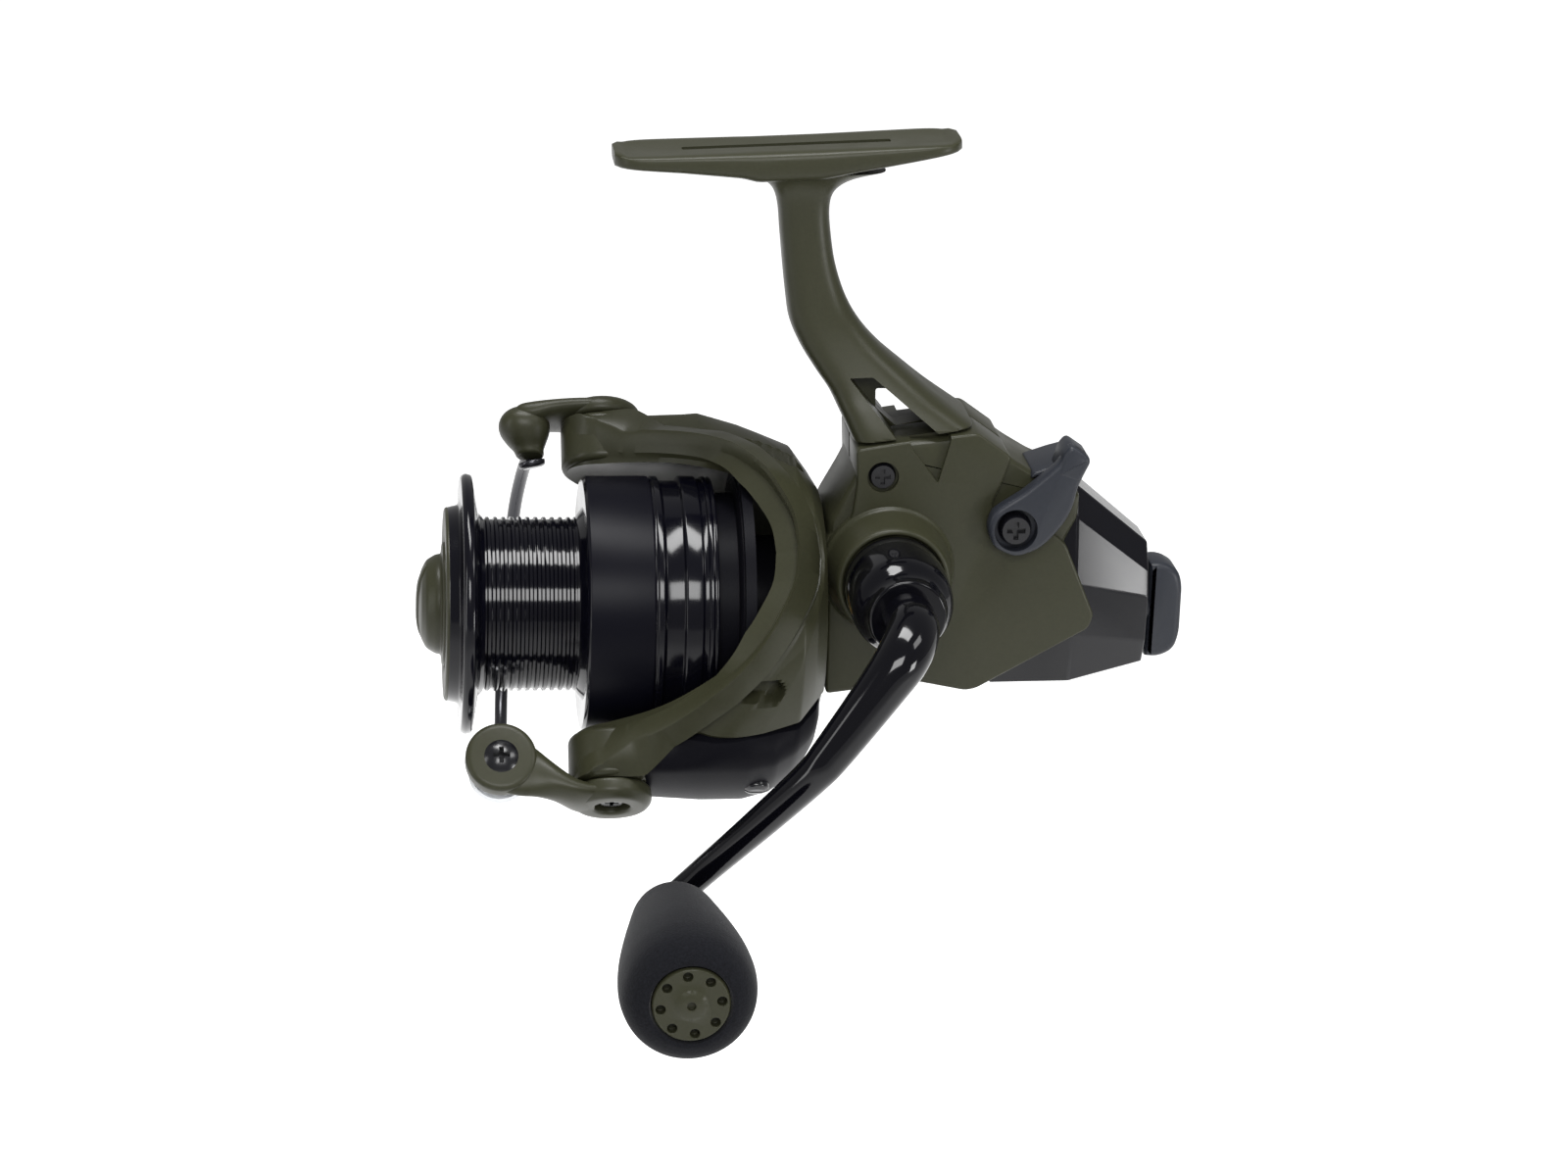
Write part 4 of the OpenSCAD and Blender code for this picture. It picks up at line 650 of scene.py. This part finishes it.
def spool_profile():
    """Half section of the spool: front ring seat, lip, line seat with a groove every 1.55 millimetres,
    skirt with its bands, and the hollow behind."""
    lip = rounded([(LIP_X - 1.8, 14.8), (LIP_X - 2.6, 16.6), (LIP_X - 2.6, 18.5), (LIP_X - 0.4, 19.0),
                   (LIP_X, 20.4), (LIP_X, 24.4), (LIP_X + 0.9, 25), (LIP_X + 2.2, 24.7),
                   (LIP_X + 3.4, 17.6), (LIP_X + 4.2, 16.8)],
                  0.45, 5)
    x = np.linspace(LIP_X + 4.3, -37.6, 331)
    groove = np.clip(0.5 - 1.1 * np.cos(2 * np.pi * (x + 56) / 1.55), 0, 1) * (x > -55.3) * (x < -38.0)
    seat = np.stack([x, 16.7 - 0.42 * groove], 1)
    skirt = rounded([(-37.2, 17.4), (-36.2, 18.6), (-36.5, 23.9), (-35.9, 24.55), (-24.0, 24.6),
                     (-23.8, 24.35), (-23.4, 24.35), (-23.2, 24.6), (-22.2, 24.6), (-22.0, 24.3),
                     (-21.7, 23.7), (-18.4, 23.7), (-18.1, 24.45), (-17.8, 24.6), (-15.0, 24.6),
                     (-14.7, 24.1), (-13.8, 24.1), (-13.6, 24.5), (-13.0, 24.6), (-12.8, 24.3),
                     (-12.4, 24.3), (-12.2, 24.55), (-11.9, 24.3), (-11.9, 22.9)],
                    0.14, 4)
    inside = [(-34.1, 22.9), (-34.1, 14.3), (-44.2, 14.3), (-44.2, 8), (-34.3, 8), (-34.3, 5.02),
              (-47.2, 5.02), (-47.2, 12), (-58.6, 12), (-58.6, 14.8), (LIP_X - 1.8, 14.8)]
    return np.vstack([lip, seat, skirt, inside])


spool = put("spool_turned", turned(spool_profile(), (0, 0, 0), X, 180), "spool", "spool_body", ["spool"], 34)
spool.data.materials.append(MAT["skirt"])
middle = np.empty(3 * len(spool.data.polygons))
spool.data.polygons.foreach_get("center", middle)
middle = middle.reshape(-1, 3) / MM
outside = np.hypot(middle[:, 1], middle[:, 2] - SPOOL_Z) > 24
plain = (middle[:, 0] > SKIRT[0]) & (middle[:, 0] < SKIRT[1]) & outside
spool.data.polygons.foreach_set("material_index", plain.astype(np.int32))
ring_profile = rounded([(LIP_X - 1.8, 12.5), (LIP_X - 2.7, 12.6), (LIP_X - 3.0, 13.4), (LIP_X - 3.0, 18.1),
                        (LIP_X - 2.7, 18.5), (LIP_X - 1.8, 18.5), (LIP_X - 1.8, 12.5)], 0.2, 4)
put("spool_ring_turned", turned(ring_profile, (0, 0, 0), X, 120), "olive", "spool_body", ["spool_ring"], 40)


def knob_shape():
    """Front drag knob: a stepped round base and a dome, and across it a rib of height 2.4 (1 - |z /
    9.2|^3.2) and half width 1.9 (1 - |z / 9|^6), turned a little from upright."""
    profile = rounded([(LIP_X - 2.0, 0), (LIP_X - 1.6, 4.6), (LIP_X - 1.5, 11.7), (LIP_X - 3.4, 11.9),
                       (LIP_X - 3.6, 9.6), (LIP_X - 4.6, 9.5), (LIP_X - 6.4, 8.4), (LIP_X - 7.4, 6.4),
                       (LIP_X - 7.8, 3.6), (LIP_X - 7.9, 0)], 0.6, 6)
    z = np.linspace(-8.5, 8.5, 31)
    turn = math.radians(12)
    across = np.array([0, math.cos(turn), math.sin(turn)])
    along = np.array([0, -math.sin(turn), math.cos(turn)])
    rib = loft((LIP_X - 5.9) * X + z[:, None] * along, X, across, 2.4 * (1 - np.abs(z / 9.2) ** 3.2) + 0.05,
               1.9 * (1 - np.abs(z / 9.0) ** 6) + 0.05, 28, 3.0)
    return join(turned(profile, (0, 0, 0), X, 96), rib)


put("drag_knob_turned", knob_shape(), "olive", "front_drag", ["drag_knob"], 40)


# ------------------------------------------------------------------ crank and grip

CRANK = np.array([21.0, 0, 11.0])
CRANK_ANGLE = math.radians(36.6)
DOWN_ARM = np.array([-math.sin(CRANK_ANGLE), 0, -math.cos(CRANK_ANGLE)])
ARM_NORMAL = np.cross(DOWN_ARM, Y)
collar_profile = rounded([(21.3, 0), (21.3, 9.6), (29.5, 9.7), (34.5, 9.4), (37.2, 7.6), (38.6, 7.2),
                          (40.5, 7.1), (40.5, 0)], [0.1, 0.6, 2, 2, 1.6, 1, 0.5, 0.1], 8)
put("crank_collar_turned", turned(collar_profile, CRANK, -Y, 96), "gloss", "drive", ["crank_collar"], 40)
# the line of the arm: distance down from the crank's axis, distance out from the case, radius
ARM_LINE = [(0, 38.5, 4.9), (0, 43, 4.9), (0.4, 48, 5.0), (4.2, 52.6, 4.95), (11, 54.6, 4.5), (25, 56.4, 3.8),
            (31, 55.9, 3.45), (44, 50.6, 3.1), (60, 43.0, 2.75), (69.4, 38.9, 2.7)]
arm = curve(ARM_LINE, 90)
arm_path = CRANK + arm[:, :1] * DOWN_ARM - arm[:, 1:2] * Y
put("crank_arm_forged", tube(arm_path, arm[:, 2], ARM_NORMAL, 40), "gloss", "drive", ["crank_arm"], 50)

GRIP = CRANK + 70.6 * DOWN_ARM
grip_line = curve([(45.5, 5.0), (46.0, 6.6), (47.4, 7.8), (53.5, 9.1), (61.5, 10.6), (69, 11.8),
                   (74.3, 12.35), (78.3, 12.45), (81.9, 11.9), (84.1, 10.5), (85.2, 8.6), (85.3, 7.5)], 90)
grip_bore = [(84.3, 7.15), (80.0, 7.1), (80.0, 4.2), (50.8, 4.2), (50.8, 3.4), (45.5, 3.4)]
grip_profile = np.vstack([[(45.5, 3.4), (45.5, 4.2)], grip_line, grip_bore])
grip = put("grip_foam", turned(grip_profile, GRIP, -Y, 128), "foam", "grip_body", ["grip"], 45)


# ------------------------------------------------------------------ stem and foot

def stem_shape():
    """Level rings from the case up to the foot: at each height the front and back of the side outline give
    the length, the front outline the width, and the ring is a rounded oblong that is rounder in the slim
    part."""
    stations = np.array([
        # height, front x, back x, half width, squareness
        (30.0, 16.0, 44.6, 12.4, 7), (34.0, 14.4, 43.6, 12.35, 7), (37.2, 12.9, 38.6, 11.7, 6),
        (41, 11.0, 33.2, 10.4, 5), (44.4, 9.2, 28.6, 9.0, 4.2), (48, 6.6, 24.2, 7.8, 3.6),
        (52.5, 3.7, 18.9, 6.6, 3.2), (57, 1.7, 14.9, 5.7, 3.0), (62, 0.8, 12.0, 5.1, 3.0),
        (68, 0.0, 9.9, 4.8, 3.0), (74, -0.7, 8.8, 4.7, 3.0), (78.5, -1.2, 8.4, 4.7, 3.0),
        (81.4, -2.0, 8.9, 4.9, 3.0), (83.4, -3.5, 10.6, 5.5, 3.2), (84.9, -6.4, 13.6, 6.4, 3.4),
        (86.2, -11, 18.6, 7.4, 3.6)])
    s = curve(stations, 120)
    c = np.stack([(s[:, 1] + s[:, 2]) / 2, 0 * s[:, 0], s[:, 0]], 1)
    return loft(c, X, Y, (s[:, 2] - s[:, 1]) / 2, s[:, 3], 72, s[:, 4])


def foot_shape():
    """Foot: side outline swept across its width; the rim is rounded and the top is hollowed along the rod by
    0.75 (1 - (y / 8.5)^2)."""
    x = np.linspace(-32.3, 32.3, 61)
    under = np.interp(x, [-32.5, -20, -9, -6, 6, 13, 22, 32.5],
                      [-2.7, -4.0, -5.5, -6.4, -6.4, -5.2, -3.8, -2.1])
    half = 8.5 * (1 - np.abs(x / 32.7) ** 14) ** 0.35
    t = np.radians(np.linspace(0, 360, 49)[:-1])
    y = np.sign(np.cos(t)) * np.abs(np.cos(t)) ** 0.35
    up = np.sign(np.sin(t)) * np.abs(np.sin(t)) ** 0.5
    yy = half[:, None] * y[None]
    top = -0.75 * (1 - (yy / 8.5) ** 2) * (np.abs(x)[:, None] < 31)
    mid = (under[:, None] - 0.1) * 0.5
    z = np.where(up[None] >= 0, mid + (top - mid) * up[None], mid - (under[:, None] - mid) * up[None])
    xx = np.broadcast_to(x[:, None], yy.shape)
    tilt = math.radians(3)
    height = xx * math.sin(tilt) + z * math.cos(tilt) - SPOOL_Z
    return grid(np.stack([xx * math.cos(tilt) - z * math.sin(tilt), yy, height], -1))


window = rounded([(18.4, 44.0), (21.4, 44.0), (27.7, 37.9), (22.5, 36.7), (18.5, 40.3)], 0.5, 4, True)
recess = rounded([(12.6, 47.4), (17.1, 47.6), (31.6, 36.0), (31.6, 33), (24.5, 33)], 0.4, 4, True)
stem = put("stem_cast", stem_shape(), "olive", "housing", sharp=35)
cut(stem, slab(window, -20, 20, 0.1), slab(recess, -20, -2.6, 0.1), slab(recess, 2.6, 20, 0.1))
foot = put("foot_cast", foot_shape(), "olive", "housing", sharp=40)
foot_slot = rounded([(-19.5, -1.1), (19.5, -1.1), (19.5, 1.1), (-19.5, 1.1)], 0.5, 4, True)
cut(foot, slab(foot_slot, 88.6, 95, 0.1, (X, Y), Z))


# ------------------------------------------------------------------ gear case

SEAM = math.radians(7.8)  # slope of the joint between stem and case


def sliced(piece, point, above):
    """Cuts a piece by a plane through the point at the slope of the seam, closes the cut and keeps the part
    above or the part below."""
    bm = bmesh.new()
    bm.from_mesh(piece.data)
    made = bmesh.ops.bisect_plane(
        bm, geom=bm.verts[:] + bm.edges[:] + bm.faces[:], dist=1e-7,
        plane_co=Vector(place(np.array(point, float))),
        plane_no=Vector((-math.sin(SEAM), 0, math.cos(SEAM))), clear_outer=not above, clear_inner=above)
    edges = [g for g in made["geom_cut"] if isinstance(g, bmesh.types.BMEdge)]
    bmesh.ops.holes_fill(bm, edges=edges, sides=0)
    bm.to_mesh(piece.data)
    bm.free()


sliced(stem, (13, 0, 35.4), True)
COVER = [(14.0, 34.8), (23.5, 36.4), (36.9, 38.1), (43.6, 33.4), (41.7, 27.6), (40.3, 24.3), (40.6, 20),
         (45, 17), (51.5, 18.8), (54.9, 16.2), (61.1, 1.9), (60.2, -0.8), (39.0, -13.0), (36.9, -13.4),
         (27.7, -11.6), (10.0, -14.0), (9.7, 12), (13.7, 22), (14.4, 28)]
CORE = [(15.6, 35.2), (15.2, 31.5), (13.2, 27), (10.8, 22.5), (9.5, 20), (9.4, -13.6), (27.7, -11.0),
        (38, -12.6), (56, 4), (54.9, 16.2), (57.2, 20.9), (57.4, 25.8), (50, 28.9), (44.9, 31.9),
        (37.4, 37.4)]
BULGE = 13.1  # radius of the case round the drive gear
front_half = np.radians(np.linspace(125, 235, 41))
bulge_line = np.stack([CRANK[0] + BULGE * np.cos(front_half), CRANK[2] + BULGE * np.sin(front_half)], 1)
cover_line = rounded(COVER, 0.9, 4, True)
core_line = rounded(CORE, 1.0, 4, True)
case = put("case_core", slab(core_line, -11.2, 11.2, 1.6), "olive", "housing", ["body_frame"], 30)
put("case_gear_bulge", slab(bulge_line, -11, 11, 0.6), "olive", "housing", sharp=30)
cover = put("side_cover_cast", slab(cover_line, 0.2, 12.5, 0.5, out=-Y), "olive", "housing",
            ["side_cover"], 30)
far = put("case_far_side", slab(cover_line, 0.2, 12.5, 0.5, out=Y), "olive", "housing",
          sharp=30)
triangle = rounded([(24.2, 39.0), (24.2, 35.4), (29.7, 28.2), (31.8, 36.4), (31.8, 39.0)], 0.5, 4, True)
screw_seat = turned([(9.6, 0), (9.6, 3.0), (13.4, 3.0), (13.4, 0)], (19.2, 0, 29.4), -Y, 48)
cut(cover, slab(triangle, 8.6, 20, 0.1, out=-Y), screw_seat)
cut(far, slab(triangle, 8.6, 20, 0.1, out=Y))
for piece in (case, cover, far):
    sliced(piece, (13, 0, 35.2), False)
near_boss = rounded([(10, 0), (10, 12.8), (12.6, 12.7), (13.2, 12.0), (17, 11.4), (20.2, 10.9), (21.0, 10.5),
                     (21.0, 9.8), (19, 9.7), (19, 0)], [0.1, 0.1, 0.3, 0.8, 1, 1, 0.4, 0.2, 0.2, 0.1], 5)
far_boss = rounded([(10, 0), (10, 12.5), (13.6, 12.2), (14.4, 11.6), (14.4, 0)], 0.5, 4)
put("crank_boss", join(turned(near_boss, CRANK, -Y, 96), turned(far_boss, CRANK, Y, 96)), "olive", "housing",
    sharp=40)


def rear_shape():
    """Flat-sided rear cover: five corners a side at each of three stations, joined by flat faces, mirrored
    to the far side."""
    half = np.array([
        # height and half width of the corners from top to bottom, at the front, the olive edge and the end
        [(26.6, 6.4), (20.9, 9.4), (9, 11.4), (-1, 11.4), (-12.8, 9.6)],
        [(26.2, 6.0), (20.8, 9.7), (8, 11.9), (-2.5, 11.7), (-12.6, 9.4)],
        [(14.2, 4.6), (9.4, 7.6), (4.4, 8.9), (-4.6, 8.6), (-9.6, 6.4)]])
    x = np.array([42.0, 57.4, 72.2])
    k = np.array([0, 0.98, 1.0, 1.06, 1.9, 1.97, 2.0])
    seg = np.minimum(k.astype(int), 1)
    u = (k - seg)[:, None, None]
    h = half[seg] * (1 - u) + half[seg + 1] * u
    xs = x[seg] * (1 - u[:, 0, 0]) + x[seg + 1] * u[:, 0, 0]
    near = np.stack([np.broadcast_to(xs[:, None], h.shape[:2]), -h[..., 1], h[..., 0]], -1)
    away = near[:, ::-1] * np.array([1, -1, 1])
    return grid(np.concatenate([near, away], 1))


rear = put("rear_cover_moulded", rear_shape(), "moulded", "housing", ["rear_cover"], 10)
bevelled(rear, 0.5, 12)


# ------------------------------------------------------------------ lever and rear knob

LEVER_AXIS = (44.4, 0, 20.2)
# both arms of the yoke share the part round the axis
LEVER_ROOT = [(51.2, 18.4), (48.8, 16.2), (44.6, 14.7), (40.4, 16.6), (38.9, 20.4), (39.8, 23.6)]
NEAR_ARM = [(42.0, 25.2), (45.4, 27.4), (48.9, 30.4), (52.2, 33.5), (53.0, 35.6), (54.2, 37.0), (57.7, 34.6),
            (57.9, 33.4), (55.8, 28.6), (55.2, 25.0), (53.8, 21.8)] + LEVER_ROOT
FAR_ARM = [(42.0, 25.2), (45, 26.6), (49, 27.0), (53, 26.2), (54.2, 24.6), (53.4, 21.6)] + LEVER_ROOT
TAB = [(51.6, 31.0), (52.8, 35.4), (54.2, 37.0), (57.7, 34.6), (57.9, 33.4), (56.0, 29.6)]
STRAP = [(47.4, 29.2), (47.8, 30.4), (52.4, 32.0), (56.4, 33.1), (57.0, 31.6), (52.6, 30.4)]
near_arm = slab(rounded(NEAR_ARM, [1.2] * 5 + [0.9] * 3 + [1.5] * 9, 5, True), 12.8, 16.5, 0.9, out=-Y)
far_arm = slab(rounded(FAR_ARM, 1.5, 5, True), 12.8, 16.5, 0.9, out=Y)
tab = slab(rounded(TAB, 0.9, 4, True), 8.0, 16.6, 0.8, out=-Y)
strap = slab(rounded(STRAP, 0.5, 4, True), -12.5, 1.0, 0.4)
lever = put("freespool_lever_moulded", near_arm, "grey", "lever", ["freespool_lever"], 40)
lever_far = put("freespool_lever_far_arm", far_arm, "grey", "lever", sharp=40)
spindle_bore = [(12, 0), (12, 2.7), (14.2, 2.7), (14.2, 4.0), (18, 4.2), (18, 0)]
for piece, out in ((lever, -Y), (lever_far, Y)):
    cut(piece, turned(spindle_bore, LEVER_AXIS, out, 64))
put("freespool_lever_bar", join(tab, strap), "grey", "lever", sharp=40)
KNOB = [(73.2, 9.5), (75.9, 9.7), (79.0, 8.0), (79.9, 5.0), (79.95, -5.0), (79.0, -8.2), (76.0, -9.7),
        (73.2, -9.5)]
knob = rounded(KNOB, [0.4, 1.4, 1.6, 2.5, 2.5, 1.6, 1.4, 0.4], 6, True)
knob_stalk = turned([(68, 0), (68, 3.9), (74, 3.9), (74, 0)], (0, 0, 0), X, 48)
put("rear_knob_moulded", join(slab(knob, -4.3, 4.3, 1.3), knob_stalk), "grey", "rear_drag", ["rear_knob"], 40)
softened("grip_cap", "grip_cap_turned", "olive", "grip_body", 0.15)


# ------------------------------------------------------------------ floor

FLOOR_SIDE, FLOOR_Z = 4, -0.42  # metres
FLOOR_GLOW = 0.66
floor_mat = material("pale_floor", (0.9, 0.9, 0.9), rough=0.9, spec=0.1)
floor_mat.node_tree.nodes["Principled BSDF"].inputs["Emission Color"].default_value = (1, 1, 1, 1)
floor_mat.node_tree.nodes["Principled BSDF"].inputs["Emission Strength"].default_value = FLOOR_GLOW
corners = [(x * FLOOR_SIDE, y * FLOOR_SIDE, FLOOR_Z) for x, y in ((-1, -1), (1, -1), (1, 1), (-1, 1))]
floor_mesh = bpy.data.meshes.new("floor")
floor_mesh.from_pydata(corners, [], [(0, 1, 2, 3)])
floor_mesh.materials.append(floor_mat)
floor = bpy.data.objects.new("floor", floor_mesh)
scene.collection.objects.link(floor)
